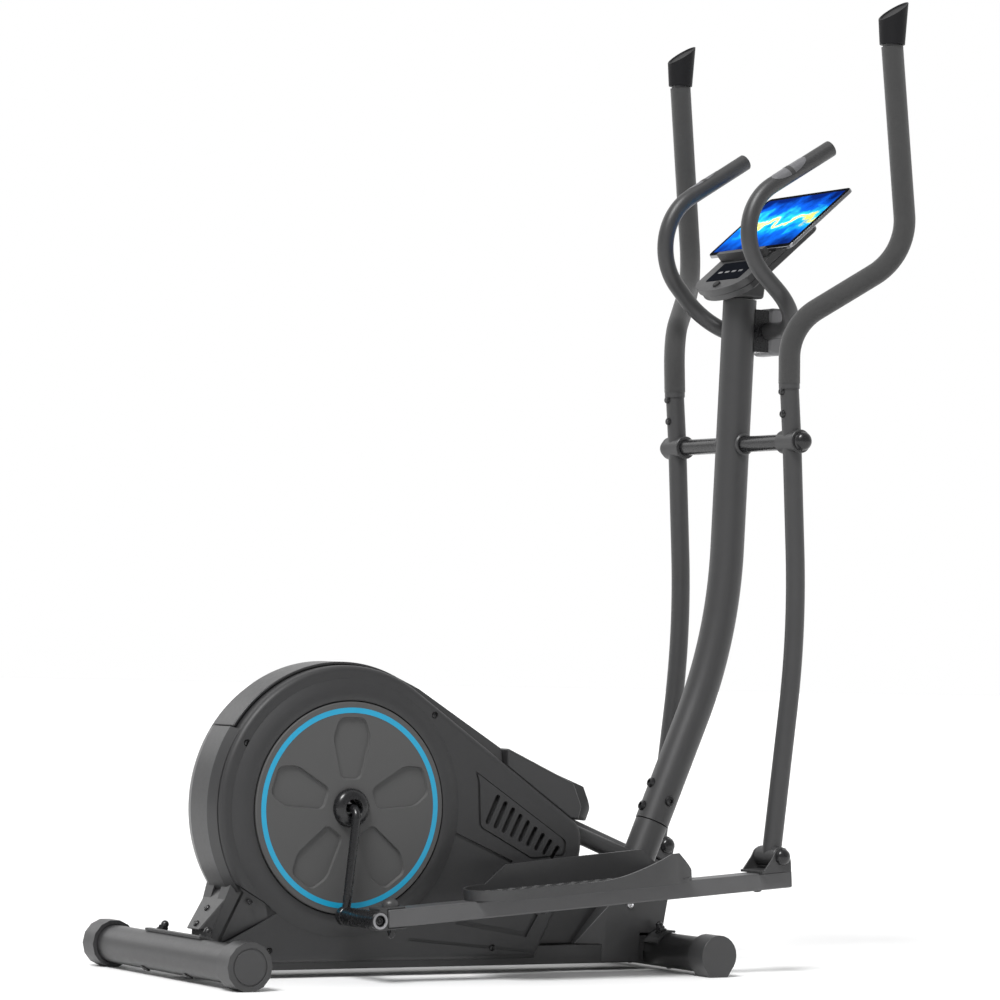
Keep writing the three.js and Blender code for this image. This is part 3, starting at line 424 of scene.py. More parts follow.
FINISHES = {
    "paint": lambda: surface(
        "powder_coat", colours().paint, rough=0.42, metal=0.15, grain=0.25, grain_size=1.4, blotch=0.08),
    "beam": lambda: surface(
        "beam_coat", colours().beam, rough=0.45, metal=0.2, grain=0.25, grain_size=1.4, blotch=0.08),
    "tube": lambda: surface(
        "floor_tube_coat", colours().paint, rough=0.36, metal=0.3, grain=0.2, grain_size=1.2),
    "shell": lambda: surface(
        "housing_plastic", colours().shell, rough=0.5, grain=0.12, grain_size=0.9, blotch=0.06),
    "cover": lambda: surface(
        "cover_plastic", colours().cover, rough=0.36, grain=0.08, grain_size=0.9, blotch=0.06),
    "disc": lambda: surface(
        "disc_plastic", colours().disc, rough=0.46, grain=0.1, grain_size=0.9, blotch=0.06),
    "plastic": lambda: surface("black_plastic", colours().plastic, rough=0.4, grain=0.15, grain_size=1.1),
    "clamp": lambda: surface("clamp_plastic", colours().clamp, rough=0.45, grain=0.1, blotch=0.06),
    "gloss": lambda: surface("gloss_black", colours().gloss, rough=0.28, coat=0.15, shine=0.8),
    "steel": lambda: surface(
        "zinc_steel", (0.55, 0.55, 0.56), rough=0.32, metal=1.0, grain=0.05, grain_size=0.8),
    "iron": lambda: surface(
        "cast_wheel", (0.11, 0.11, 0.115), rough=0.5, metal=0.8, grain=0.3, grain_size=1.5, blotch=0.15),
    "rubber": lambda: surface("rubber", (0.02, 0.02, 0.02), rough=0.75, grain=0.2, blotch=0.15),
    "ring": lambda: surface("blue_trim", colours().ring, rough=0.35, grain=0.03, blotch=0.05),
    "cap": lambda: surface("cap_black", colours().gloss, rough=0.5, shine=0.25),
    "sensor": lambda: surface(
        "sensor_steel", (0.2, 0.2, 0.21), rough=0.3, metal=0.5, grain=0.02, grain_size=0.6, blotch=0.05),
    "silver": lambda: surface(
        "silver_edge", (0.3, 0.3, 0.31), rough=0.3, metal=1.0, grain=0.02, grain_size=0.6, blotch=0.05),
    "glass": lambda: surface("dark_glass", (0.008, 0.009, 0.012), rough=0.6, blotch=0.2, shine=0.0),
    "foam": foam,
    "screen": screen,
}
INNER_NODES = {
    "crank_tower": "paint", "magnet_carrier": "paint", "drive_pulley": "plastic",
    "tensioner_roller": "plastic", "resistance_motor": "plastic", "flywheel": "iron",
    "drive_belt": "rubber", "crank_axle": "steel", "flywheel_axle": "steel",
    "crank_bearing_right": "steel", "crank_bearing_left": "steel",
    "upper_handle_right": "paint", "upper_handle_left": "paint",
}


# ---------------------------------------------------------------- small fasteners
def bolt_head(radius, height, socket=0.5):
    """A round head standing on z = 0, domed, with a hexagon socket."""
    head = lathe(
        [(radius, 0), (radius, height * 0.45), (radius * 0.85, height * 0.8), (radius * 0.5, height),
         (0, height)], 0, 0, 24)
    hexagon = [polar(radius * socket, 60 * i) for i in range(6)]
    head = carve(head, prism(hexagon, height * 0.4, height + 2))
    bmesh.ops.transform(head, matrix=Matrix.Rotation(math.pi / 2, 4, "X"), verts=head.verts)
    return head


def acorn_nut(across=15.0):
    """A hexagon nut with a domed top, standing on z = 0."""
    hexagon = [polar(across * 0.577, 60 * i) for i in range(6)]
    nut = prism(hexagon, 0, across * 0.45, "Z")
    dome = lathe([(across * 0.42, 0), (across * 0.42, 5)] + [
        (across * 0.42 * math.cos(a), 5 + across * 0.42 * math.sin(a))
        for a in (0.3, 0.6, 0.9, 1.2)] + [(0, 5 + across * 0.42)], 0, 0, 24)
    turn = Matrix.Translation((0, 0, across * 0.45 - 1)) @ Matrix.Rotation(math.pi / 2, 4, "X")
    bmesh.ops.transform(dome, matrix=turn, verts=dome.verts)
    washer = prism(arc(across * 0.66, across * 0.66, 0, 345, (0, 0), 23), -0.2, 1.4, "Z")
    return merged(nut, dome, washer)


def aimed(place, direction):
    """A matrix that stands a z-up fastener at a place, pointing along a direction."""
    turn = Vector((0, 0, 1)).rotation_difference(Vector(direction)).to_matrix().to_4x4()
    return ROW @ Matrix.Translation(place) @ turn


# ---------------------------------------------------------------- floor frame and mast
REAR_FOOT = (-265.0, 37.05)
FRONT_FOOT = (607.0, 33.0)
MAST_LINE = [(611.6, 0, 240), (745.6, 0, 551.7), (765.7, 0, 1122)]
BRACE = [(430, 0, 234), (590, 0, 172)]
FOOT_HALF = 43.5
FOOT_SIDE = [(424, 14), (600, 14), (612, 76), (620, 120), (610, 172), (578, 182), (552, 178), (540, 150)]
FOOT_FLANK = [(400, 16), (424, 16), (500, FOOT_HALF), (500, 60), (400, 60)]
WEB_SIDE = [(372, 42.4), (480, 42.4), (552, 150), (440, 150), (421, 140)]


def block(x0, x1, y0, y1, z0, z1):
    return prism([(x0, z0), (x1, z0), (x1, z1), (x0, z1)], y0, y1)


def between(a, b, z):
    """The point at a height on the line through two points."""
    share = (z - a[2]) / (b[2] - a[2])
    return Vector(a).lerp(Vector(b), share)


def build_foot(name, centre, radius, half, lean, bolt_y, finish):
    """One stabilizer with its end caps and saddle bolts, which lean by some degrees."""
    x, z = centre
    wall = ring_section(radius - 2, radius, -half, half)
    piece(f"{name}_stabilizer", lathe(wall, x, z, 72), "frame", finish, [f"{name}_foot_tube"])
    up = Vector((math.sin(math.radians(lean)), 0, math.cos(math.radians(lean))))
    for side, word in SIDES:
        node = f"{name}_foot_cap_{word}"
        label = f"{name}_stabilizer_cap_{word}"
        piece(label, cad_copy(node), "frame", "plastic", [node], bevel=1.2, segments=3)
        middle = Vector((x, side * bolt_y, z))
        over = aimed(middle + up * (radius + 4.2), up)
        piece(f"{name}_saddle_nut_{word}", acorn_nut(), "frame", "gloss", place=over)
        under = aimed(middle - up * (radius - 0.5), -up)
        piece(f"{name}_saddle_bolt_{word}", bolt_head(8, 3.5), "frame", "gloss", place=under)


def build_floor_frame():
    piece("rail", cad_copy("base_rail"), "frame", "paint", ["base_rail"], bevel=1)
    build_foot("rear", REAR_FOOT, radius=30, half=232, lean=25, bolt_y=75, finish="tube")
    build_foot("front", FRONT_FOOT, radius=28.5, half=197, lean=-20, bolt_y=60, finish="cover")


def build_front_post():
    rail_room = block(300, 700, -40.4, 40.4, 0, 42.4)
    tube_room = block(565, 640, -50, 50, 0, 60)
    saddle_room = lathe([(0, -110), (33.7, -110), (33.7, 110), (0, 110)], *FRONT_FOOT, 64)
    flanks = [prism([(x, side * y) for x, y in FOOT_FLANK], 0, 250, "Z") for side in (-1, 1)]
    foot = carve(prism(FOOT_SIDE, -FOOT_HALF, FOOT_HALF), rail_room, tube_room, saddle_room, *flanks)
    piece("mast_foot", foot, "frame", "paint", ["front_post"], bevel=1.6, segments=3)
    piece("post_web", prism(WEB_SIDE, -14, 14), "frame", "cover", bevel=1.5)
    piece("brace_tube", tube([Vector(p) for p in BRACE], 14), "frame", "paint")
    stub = tube([between(*MAST_LINE[:2], z) for z in (160, 238.5)], 27.6, 24)
    piece("mast_stub", stub, "frame", "paint")
    for side, word in SIDES:
        at = aimed((544, side * (FOOT_HALF - 0.3), 107), (0, side, 0))
        piece(f"post_bolt_{word}", bolt_head(6.5, 4), "frame", "steel", place=at)


def build_mast():
    mast = tube(bent(MAST_LINE, [800]), MAST_R, MAST_R - 2.5, 48)
    piece("mast_tube", mast, "frame", "paint", ["mast"])
    foot, knee = MAST_LINE[:2]
    lean = (Vector(knee) - Vector(foot)).normalized()
    rearward = Vector((-lean.z, 0, lean.x))
    sunk = MAST_R - 0.6
    for i, z in enumerate((295, 257)):
        at = aimed(between(foot, knee, z) + rearward * sunk, rearward)
        piece(f"mast_rear_bolt_{i}", bolt_head(8.5, 6), "frame", "gloss", place=at)
    for side, word in SIDES:
        at = aimed(between(foot, knee, 276) + Vector((0, side * sunk, 0)), (0, side, 0))
        piece(f"mast_side_bolt_{word}", bolt_head(8.5, 6), "frame", "gloss", place=at)
    end = [
        (13.5, 198.5), (15.5, 199), (15.5, 203), (14.6, 206.5), (12.5, 209.5), (9.6, 211.6), (6, 212.9),
        (0, 213.5),
    ]
    profile = on_side(reversed(end), -1) + end
    piece("swing_axle", lathe(profile, *PIVOT, 48), "frame", "gloss", ["arm_axle"])
    for side, word in SIDES:
        ring = [(14, 29), (18.5, 29), (18.5, 32), (16.5, 34), (14, 34), (14, 29)]
        collar = lathe(on_side(ring, side), *PIVOT, 48)
        piece(f"axle_collar_{word}", collar, "frame", "plastic")


# ---------------------------------------------------------------- housing
def shell_outline(inset):
    """The housing's side outline, taken in all round."""
    base = 24 + inset
    start = 90 - math.degrees(SLOPE)
    points = [(-206 + inset, base), (355 - inset * 1.3, base), (437 - inset * 1.1, 188)]
    slope_end = (SLOPE_END[0] - inset, SLOPE_END[1] - inset)
    quad = (445 - inset * 1.2, 230)
    ends = (points[-1], slope_end)
    near = [(p[0] + (quad[0] - p[0]) * 2 / 3, p[1] + (quad[1] - p[1]) * 2 / 3) for p in ends]
    points += curve(points[-1], near[0], near[1], slope_end, 10)
    points += arc(TOP_R - inset, TOP_R - inset, start, 90, steps=16)
    points += arc(REAR_R - inset, TOP_R - inset, 90, 213, steps=60)[1:]
    return points + [(-176 + inset, 134), (-206 + inset, 64)]


def leaning_slot(top, foot, width, side):
    """A cutter for one vent slot with round ends."""
    run = Vector(top) - Vector(foot)
    angle = math.degrees(math.atan2(run.y, run.x))
    r = width / 2
    ends = arc(r, r, angle - 90, angle + 90, top, 8) + arc(r, r, angle + 90, angle + 270, foot, 8)
    return prism(ends, side * 40, side * 75)


def groove(points, width, side, depth):
    """Cutters for a groove along a line of points in the housing's flat side."""
    cutters = []
    for a, b in zip(points, points[1:]):
        run = (Vector(b) - Vector(a)).normalized() * width / 2
        across = Vector((-run.y, run.x))
        a, b = Vector(a) - run, Vector(b) + run
        corners = [tuple(p) for p in (a - across, b - across, b + across, a + across)]
        cutters.append(prism(corners, side * (SHELL_Y - depth), side * (SHELL_Y + 5)))
    return cutters


def vent_cutters(side):
    """Cutters for the outline round the vent and for its slots."""
    panel = rounded(VENT_PANEL, 6)
    middle = Vector((320, 245))
    island = [tuple(middle + (Vector(p) - middle) * 0.945) for p in panel]
    cutters = [carve(prism(panel, side * (SHELL_Y - 3.2), side * 75), prism(island, side * 50, side * 80))]
    for i in range(VENT_SLOTS):
        t = i / (VENT_SLOTS - 1)
        top = (276.5 + 115 * t, 283.5 - 82 * t)
        foot = (258.5 + 124 * t, 244.5 - 57 * t)
        cutters.append(leaning_slot(top, foot, 8.4, side))
    return cutters


def screw_pits(side):
    """Cutters for the pits that the housing's screws sit in."""
    pit = [(0, SHELL_Y - 4), (5, SHELL_Y - 4), (6, SHELL_Y + 1), (0, SHELL_Y + 1)]
    return [lathe(on_side(pit, side), x, z, 24) for x, z in HOUSING_SCREWS]


def flare_corners(side):
    return [Vector((x, side * y, z)) for x, y, z in FLARE]


def housing_half(side):
    """One half of the housing: rounded edge, hollow, with its vents, grooves and disc seat."""
    shell = prism(shell_outline(0), side * 0.2, side * SHELL_Y)
    rim = [e for e in shell.edges if all(abs(abs(v.co.y) - SHELL_Y) < 0.01 for v in e.verts)]
    bmesh.ops.bevel(
        shell, geom=rim, offset=10, offset_type="OFFSET", segments=6, profile=0.5, affect="EDGES",
        clamp_overlap=False, material=-1)
    bmesh.ops.recalc_face_normals(shell, faces=shell.faces)
    cutters = [prism(shell_outline(5), side * -1, side * (SHELL_Y - 5))]
    seat = [(0, 59), (DISC_R + 2, 59), (DISC_R + 2, 75), (0, 75)]
    cutters.append(lathe(on_side(seat, side), 0, CRANK_Z, 96))
    axle_hole = [(0, 40), (20, 40), (20, 70), (0, 70)]
    cutters.append(lathe(on_side(axle_hole, side), 0, CRANK_Z, 48))
    cutters.append(block(-300, 600, -41, 41, 0, 43))
    cutters.append(tube([Vector(p) for p in BRACE], 15))
    cutters += vent_cutters(side)
    cutters += screw_pits(side)
    cutters += groove([(194.5, 227), (304, 180)], 5, side, 3.2)
    cutters += groove([(208, 84), (334, 63), (352, 92)], 8, side, 3.5)
    cutters += groove([(120, 58), (357, 34), (397, 98)], 5, side, 3)
    flare = flare_corners(side)
    cutters.append(hull(flare + [Vector((p.x - 30, side * 130, p.z)) for p in flare]))
    return carve(shell, *cutters)


def hull(points):
    """The convex solid round some points."""
    bm = bmesh.new()
    for point in points:
        bm.verts.new(point)
    bmesh.ops.convex_hull(bm, input=bm.verts)
    bmesh.ops.recalc_face_normals(bm, faces=bm.faces)
    return bm


def build_housing_sides():
    for side, word in SIDES:
        name = f"housing_{word}"
        piece(f"{name}_shell", housing_half(side), "frame", "shell", [name], smooth=24)
        ring = [
            (DISC_R + 2, 59.2), (203, 59.2), (203, 60.2), (199, 62.4), (190, 67), (184, 69), (178, 70),
            (171, 70), (169.4, 69.2), (DISC_R + 2, 59.2),
        ]
        collar = lathe(on_side(ring, side), 0, CRANK_Z, 120)
        piece(f"{name}_collar", collar, "frame", "shell", smooth=40)
        for i, (x, z) in enumerate(HOUSING_SCREWS):
            at = aimed((x, side * (SHELL_Y - 4.2), z), (0, side, 0))
            piece(f"{name}_screw_{i}", bolt_head(4.4, 2.6), "frame", "gloss", place=at)
        backing = prism(rounded(VENT_WINDOW, 5), side * 44, side * 46)
        piece(f"{name}_vent_backing", backing, "frame", "plastic")


def build_housing_back():
    crown = [
        (222.6, -50), (223.6, -49.5), (229, -32), (230, -28), (230, 28), (229, 32), (223.6, 49.5),
        (222.6, 50), (222.6, -50),
    ]
    spine = lathe(crown, 0, CRANK_Z, 72, 69, 147)
    piece("housing_rear_spine", spine, "frame", "cover", ["housing_spine"], bevel=0.6, smooth=12)
    for side, word in SIDES:
        flare = flare_corners(side)
        inward = [Vector((p.x, side * 12, p.z)) for p in flare]
        filler = hull(flare + inward + [Vector((-115, side * 20, 44))])
        piece(f"housing_flare_{word}", filler, "frame", "cover", bevel=1.2)
    top_corner, low_corner = (-186, 141), (-236, 75)
    wide, narrow, taper_from, taper_over = 46, 20, -181, 59
    side_view = [(-150, 141), top_corner, low_corner, (-224, 75), (-224, 42.5), (-150, 42.5)]
    tongue = prism(side_view, -wide, wide)
    for v in tongue.verts:
        if v.co.x < taper_from:
            v.co.y *= (wide - (taper_from - v.co.x) * (wide - narrow) / taper_over) / wide
    piece("housing_rear_foot", tongue, "frame", "cover", bevel=3, segments=3)
    slant = Vector((-66, 0, 50)).normalized()
    for i, share in enumerate((0.5, 0.86)):
        x, z = Vector(top_corner).lerp(Vector(low_corner), share)
        at = aimed((x, 0, z), slant)
        piece(f"rear_foot_screw_{i}", bolt_head(5.5, 3), "frame", "gloss", place=at)


def build_housing_top():
    start = math.pi / 2 - SLOPE
    out = Vector((math.cos(start), math.sin(start)))
    down = Vector((math.sin(start), -math.cos(start)))
    fall = Vector((TOP_R * math.sin(SLOPE), CRANK_Z + TOP_R * math.cos(SLOPE)))
    run = Vector(SLOPE_END) - fall

    def along(distance, rise):
        """A point down the slope from the end of the round top, and a rise square off it."""
        p = out * (TOP_R + 0.4 + rise) + down * distance
        return (p.x, p.y + CRANK_Z)

    def on_shell(x, rise):
        """A point straight above the housing's sloping edge."""
        return (x, fall.y + run.y * (x - fall.x) / run.x + rise)

    strip = [on_shell(300, 0.6), along(214, 0), along(202, 12), along(20, 10)]
    strip += arc(TOP_R + 5.4, TOP_R + 5.4, math.degrees(start) + 5.7, 146.5, steps=48)
    strip += arc(TOP_R + 0.2, TOP_R + 0.2, 146.5, math.degrees(start), steps=48)
    band = prism(strip, -34, 34)
    piece("housing_top_band", band, "frame", "cover", ["housing_top_strip"], bevel=2, segments=3)
    nose = [on_shell(302, 1), on_shell(424, 1), (441, 246), (446, 268), (430, 306), (302, 363)]
    cover = prism(nose, -46, 46)
    piece("housing_nose_cover", cover, "frame", "cover", ["housing_front_cover"], bevel=5, segments=4)


def build_housing():
    build_housing_sides()
    build_housing_back()
    build_housing_top()


# ---------------------------------------------------------------- cranks
PETAL = [(-18, 43), (18, 43), (35, 112), (23, 144), (-23, 144), (-35, 112)]
PETAL_MID = Vector((0, 94))
PETAL_DEPTH = 4.6
PETALS = 5


def petal_cutter(degrees, side):
    """A cutter for one sunk petal, whose walls slope in to its floor."""
    turn = Matrix.Rotation(math.radians(degrees), 2)
    outline = rounded(PETAL, 9, 5)
    rim = [turn @ Vector(p) for p in outline]
    floor = [turn @ (PETAL_MID + (Vector(p) - PETAL_MID) * 0.93) for p in outline]
    low = DISC_FACE - PETAL_DEPTH
    cutter = prism([(p.x, p.y + CRANK_Z) for p in rim], side * low, side * (DISC_FACE + 2))
    sunk = [v for v in cutter.verts if abs(abs(v.co.y) - low) < 0.01]
    for v, p in zip(sorted(sunk, key=lambda v: v.index), floor):
        v.co.x, v.co.z = p.x, p.y + CRANK_Z
    return cutter


def build_cranks():
    sizes = bpy.context.scene.trainer_sizes
    for side, word in SIDES:
        profile = [
            (14.5, 65), (DISC_R, 65), (DISC_R, 70.5), (DISC_R - 1.5, DISC_FACE), (14.5, DISC_FACE),
            (14.5, 65),
        ]
        disc = lathe(on_side(profile, side), 0, CRANK_Z, 144)
        disc = carve(disc, *(petal_cutter(360 / PETALS * i, side) for i in range(PETALS)))
        piece(f"crank_disc_face_{word}", disc, "crank", "disc", [f"crank_disc_{word}"], smooth=24)
        mid, half = sizes.ring_radius * 1000, sizes.ring_width * 500
        trim = lathe(on_side(ring_section(mid - half, mid + half, 71.5, 72.3), side), 0, CRANK_Z, 144)
        piece(f"disc_trim_{word}", trim, "crank", "ring")
        profile = [
            (14.5, 71), (31, 71), (31, 73), (30.4, 77.5), (28.6, 81), (25, 84.2), (20, 85.7), (15.5, 86),
            (14.5, 85.2), (14.5, 71),
        ]
        hub = lathe(on_side(profile, side), 0, CRANK_Z, 64)
        piece(f"disc_hub_{word}", hub, "crank", "gloss")
        x, z = DOWN.x * -side, CRANK_Z + DOWN.y * -side
        y = side * 95
        line = bent([(0, side * 62.4, CRANK_Z), (0, y, CRANK_Z), (x, y, z)], [17], 3)
        boss = [(0, 88), (14, 88), (15, 89), (15, 101), (14, 102), (0, 102)]
        arm = merged(tube(line, 6.9), lathe(on_side(boss, side), x, z, 48))
        piece(f"crank_bar_{word}", arm, "crank", "gloss", [f"crank_arm_{word}"])


# ---------------------------------------------------------------- swing arms
def build_arms():
    foam_radius = bpy.context.scene.trainer_sizes.foam_radius * 1000
    for side, word in SIDES:
        y = side * ARM_Y
        body = f"arm_{word}"
        joint, shoulder = (751, y, 970.5), (759, y, 876)
        line = bent([joint, shoulder, (777.5, y, 565), (HINGE[0], y, HINGE[1])], [400, 1500], 20)
        sleeve = ring_section(13.9, 19.5, ARM_Y - 25, ARM_Y + 25, 0.8)
        barrel = ring_section(8.4, 16, ARM_Y - 28, ARM_Y + 28, 0.8)
        arm = merged(
            tube(line, TUBE_R, sides=40), lathe(on_side(sleeve, side), *PIVOT, 56),
            lathe(on_side(barrel, side), *HINGE, 48))
        piece(f"arm_tube_{word}", arm, body, "paint", [f"lower_arm_{word}"])
        path = [(751, y, 972), (748, side * 174, 1067), (878, side * 319, 1184), (842, side * 315, 1524)]
        grip = tube(bent(path, [91, 104], 6), foam_radius, TUBE_R + 0.4, 40)
        foam_grip = piece(f"foam_grip_{word}", grip, body, "foam", [f"handle_foam_{word}"], smooth=50)
        collar = tube([Vector((751.3, y, 963)), Vector((750.9, y, 973))], 17.4, 14)
        piece(f"grip_collar_{word}", collar, body, "plastic")
        piece(
            f"grip_end_{word}", grip_end(side), body, "cap", [f"handle_cap_{word}"], bevel=0.8, segments=3,
            smooth=30)
        for i, z in enumerate((958, 921)):
            at = aimed(between(joint, shoulder, z) + Vector((-TUBE_R + 0.5, 0, 0)), (-1, 0, 0.08))
            piece(f"arm_bolt_{word}_{i}", bolt_head(6.5, 4.5), body, "gloss", place=at)


def grip_end(side):
    """A flared plug whose slanted top is sunk a little inside its rim."""
    x, y, low, high = 842, side * 315, 1526.5, 1600
    foot_radius, flared = 20.8, 25.5
    cap = prism(arc(foot_radius, foot_radius, 0, 352.5, (x, y), 47), low, high, "Z")
    for v in cap.verts:
        if v.co.z > low + 1:
            v.co.x = x + (v.co.x - x) * flared / foot_radius
            v.co.y = y + (v.co.y - y) * flared / foot_radius
    lean = math.radians(35)
    normal = Vector((-math.sin(lean), 0, math.cos(lean)))
    everything = cap.verts[:] + cap.edges[:] + cap.faces[:]
    bmesh.ops.bisect_plane(
        cap, geom=everything, plane_co=(x + 26, y, high), plane_no=normal, clear_outer=True)
    bmesh.ops.holes_fill(cap, edges=[e for e in cap.edges if e.is_boundary], sides=0)
    bmesh.ops.recalc_face_normals(cap, faces=cap.faces)
    top = [f for f in cap.faces if f.normal.dot(normal) > 0.95]
    bmesh.ops.inset_region(cap, faces=top, thickness=3, depth=0, use_even_offset=True)
    bmesh.ops.inset_region(cap, faces=top, thickness=1.2, depth=-2.2, use_even_offset=True)
    return cap


# ---------------------------------------------------------------- pedals
def crank_pin():
    """The low crank pin in a pedal beam's own frame, whose origin is the hinge pin."""
    pin = Vector((DOWN.x - HINGE[0], CRANK_Z + DOWN.y - HINGE[1]))
    return Matrix.Rotation(-LOW_PITCH, 2) @ pin


def plate_plan(inset):
    """The foot plate's outline in plan, in x and |y|."""
    rear, front = -580, -180
    a, b = 110 + inset, 235 - inset
    mid = (a + b) / 2
    edge = front - inset
    heel = rear + inset
    points = [(rear + 66, a), (front - 22, a)]
    points += curve(points[-1], (edge - 7, a), (edge, a + 7), (edge, a + 22), 10)
    points.append((edge, b - 34))
    points += curve(points[-1], (edge, b - 22), (edge - 10, b - 14), (front - 34, b - 10), 10)
    points += curve(points[-1], (front - 50, b - 4), (front - 66, b), (front - 84, b), 8)
    points.append((rear + 66, b))
    points += curve(points[-1], (rear + 24, b), (heel, mid + 22), (heel, mid), 16)
    return points + curve(points[-1], (heel, mid - 22), (rear + 24, a), (rear + 66, a), 16)[:-1]


def foot_plate(base):
    """The tray, for the left side, standing on the beam's top."""
    block_solid = prism(plate_plan(0), base + 0.4, base + 49, "Z")
    well = prism(plate_plan(4.5), base + 7, base + 70, "Z")
    high = base + 80
    outside = [(-600, base + 17), (-373, base + 17)]
    outside += curve((-373, base + 17), (-325, base + 18), (-290, base + 29), (-232, base + 49), 16)
    inside = [(-600, base + 17), (-512, base + 17), (-472, base + 45), (-400, base + 47), (-232, base + 49)]
    top = [(-232, high), (-600, high)]
    toe = [(-214, base + 49), (-180, base + 15), (-150, base + 15), (-150, high), (-214, high)]
    return carve(
        block_solid, well, prism(outside + top, ARM_Y, 245), prism(inside + top, 100, ARM_Y + 0.01),
        prism(toe, 100, 245))


def tread(base):
    """Small raised bars over the foot plate's floor, in leaning rows."""
    out = bmesh.new()
    for i in range(32):
        for k in range(9):
            x, y = -548 + i * 11.5, 122 + k * 12.6
            if x < -520 and not 150 < y < 196:
                continue
            lean = 0.6 if (i + k) % 2 else -0.6
            place = Matrix.Translation((x, y, base + 6.9)) @ Matrix.Rotation(lean, 4, "Z")
            low = [(-4.2, -1.1), (4.2, -1.1), (4.2, 1.1), (-4.2, 1.1)]
            verts = [out.verts.new(place @ Vector((a, b, 0))) for a, b in low]
            verts += [out.verts.new(place @ Vector((a * 0.9, b * 0.6, 1.2))) for a, b in low]
            for n in range(4):
                m = (n + 1) % 4
                out.faces.new((verts[n], verts[m], verts[m + 4], verts[n + 4]))
            out.faces.new(verts[4:])
            out.faces.new(verts[3::-1])
    return out


def build_pedal(side, word):
    """One pedal: its beam, tray, hinge bracket, crank sleeve and yoke, and the hinge pin."""
    pin = crank_pin()
    top = pin.y + BEAM_TALL / 2
    bottom = top - BEAM_TALL
    y = side * ARM_Y
    pitch = -LOW_PITCH + (LIFT if side > 0 else 0)
    place = ROW @ Matrix.Translation((HINGE[0], 0, HINGE[1])) @ Matrix.Rotation(pitch, 4, "Y")
    half_turn = Matrix.Rotation(math.pi, 4, "X")
    quarter_turn = Matrix.Rotation(math.pi / 2, 4, "X")

    def add(name, bm, finish, nodes=(), bevel=0.0, segments=2, at=place):
        return piece(f"{name}_{word}", bm, f"pedal_{word}", finish, nodes, bevel, segments, at)

    beam = block(pin.x + 24, 27, y - BEAM_HALF, y + BEAM_HALF, bottom, top)
    add("beam", beam, "beam", [f"pedal_beam_{word}"], bevel=3, segments=3)
    flip = Matrix.Diagonal((1, side, 1, 1))
    for name, bm, nodes, bevel in (
        ("foot_tray", foot_plate(top), [f"foot_plate_{word}"], 0.9), ("tray_tread", tread(top), [], 0),
    ):
        bmesh.ops.transform(bm, matrix=flip, verts=bm.verts)
        bmesh.ops.recalc_face_normals(bm, faces=bm.faces)
        add(name, bm, "plastic", nodes, bevel=bevel, segments=3)
    bracket = f"hinge_bracket_{word}"
    add("clevis", cad_copy(bracket), "paint", [bracket], bevel=0.8, at=ROW)
    near, far = 103, 207.5
    profile = [
        (8.4, near), (13.8, near), (14.5, near + 1), (14.5, far - 1.2), (13.6, far), (8.4, far), (8.4, near),
    ]
    sleeve = lathe(on_side(profile, side), *pin, 48)
    add("pin_sleeve", sleeve, "gloss", [f"crank_sleeve_{word}"])
    rim = [(8.2, 205), (12.8, 206.8), (12.8, 207.9), (9.2, 208), (8.2, 206.5), (8.2, 205)]
    add("sleeve_rim", lathe(on_side(rim, side), *pin, 48), "silver")
    end = Matrix.Translation((pin.x, side * 200, pin.y)) @ Matrix.Rotation(-side * math.pi / 2, 4, "X")
    add("sleeve_bolt", bolt_head(8, 5), "gloss", at=place @ end)
    yoke = f"rear_yoke_{word}"
    add("yoke", cad_copy(yoke), "paint", [yoke], bevel=1.2, segments=3, at=ROW)
    crown = [(13.5 * math.cos(a), 2 + 11 * math.sin(a)) for a in (0.2, 0.45, 0.7, 0.95, 1.2, 1.4)]
    dome = lathe([(13.5, 0), (13.5, 2), *crown, (0, 13)], 0, 0, 40)
    yoke_x = pin.x + 38
    over = Matrix.Translation((yoke_x, y, top + 3.3)) @ quarter_turn
    add("yoke_cap", dome, "plastic", at=place @ over)
    under = Matrix.Translation((yoke_x, y, bottom - 3.3)) @ half_turn
    add("yoke_nut", acorn_nut(13), "gloss", at=place @ under)
    for i, x in enumerate((-30, -440)):
        spot = Matrix.Translation((x, y, bottom + 0.3)) @ half_turn
        add(f"beam_bolt_{i}", bolt_head(7, 4.5), "gloss", at=place @ spot)
    head = [(8, 32.5), (13.5, 32.5), (13, 36), (11.6, 38.4), (9, 40.5), (4, 42.5), (0, 42.9)]
    shank = on_side(reversed(head), -1) + head
    pin_body = lathe([(r, y + v) for r, v in shank], *HINGE, 48)
    piece(f"dome_pin_{word}", pin_body, f"pin_{word}", "gloss", [f"hinge_pin_{word}"])


def build_pedals():
    for side, word in SIDES:
        build_pedal(side, word)


# ---------------------------------------------------------------- fixed bar
def sensor(middle, run, outward, half, rise=0.5):
    """A thin plate wrapped on the bar: an oval, or a plain band if it is short."""
    bm = bmesh.new()
    outward = (outward - run * outward.dot(run)).normalized()
    rows, columns = 20, 10
    oval = half > 10
    grid = []
    for i in range(rows + 1):
        u = -1 + 2 * i / rows
        reach = math.radians(58) * (math.sqrt(1 - u * u) if oval else 1) + 0.02
        row = []
        for k in range(columns + 1):
            arm = Matrix.Rotation(reach * (2 * k / columns - 1), 3, run) @ outward
            row.append(bm.verts.new(middle + run * u * half + arm * (BAR_R + rise)))
        grid.append(row)
    for low, high in zip(grid, grid[1:]):
        for k in range(columns):
            bm.faces.new((low[k], low[k + 1], high[k + 1], high[k]))
    bmesh.ops.recalc_face_normals(bm, faces=bm.faces)
    bmesh.ops.solidify(bm, geom=bm.faces[:], thickness=rise + 0.6)
    bmesh.ops.recalc_face_normals(bm, faces=bm.faces)
    return bm


# The fixed bar's left half, from its end round its two bends.
BAR = [(856, 127, 1375), (634, 121, 1238), (809, 143, 1070)]


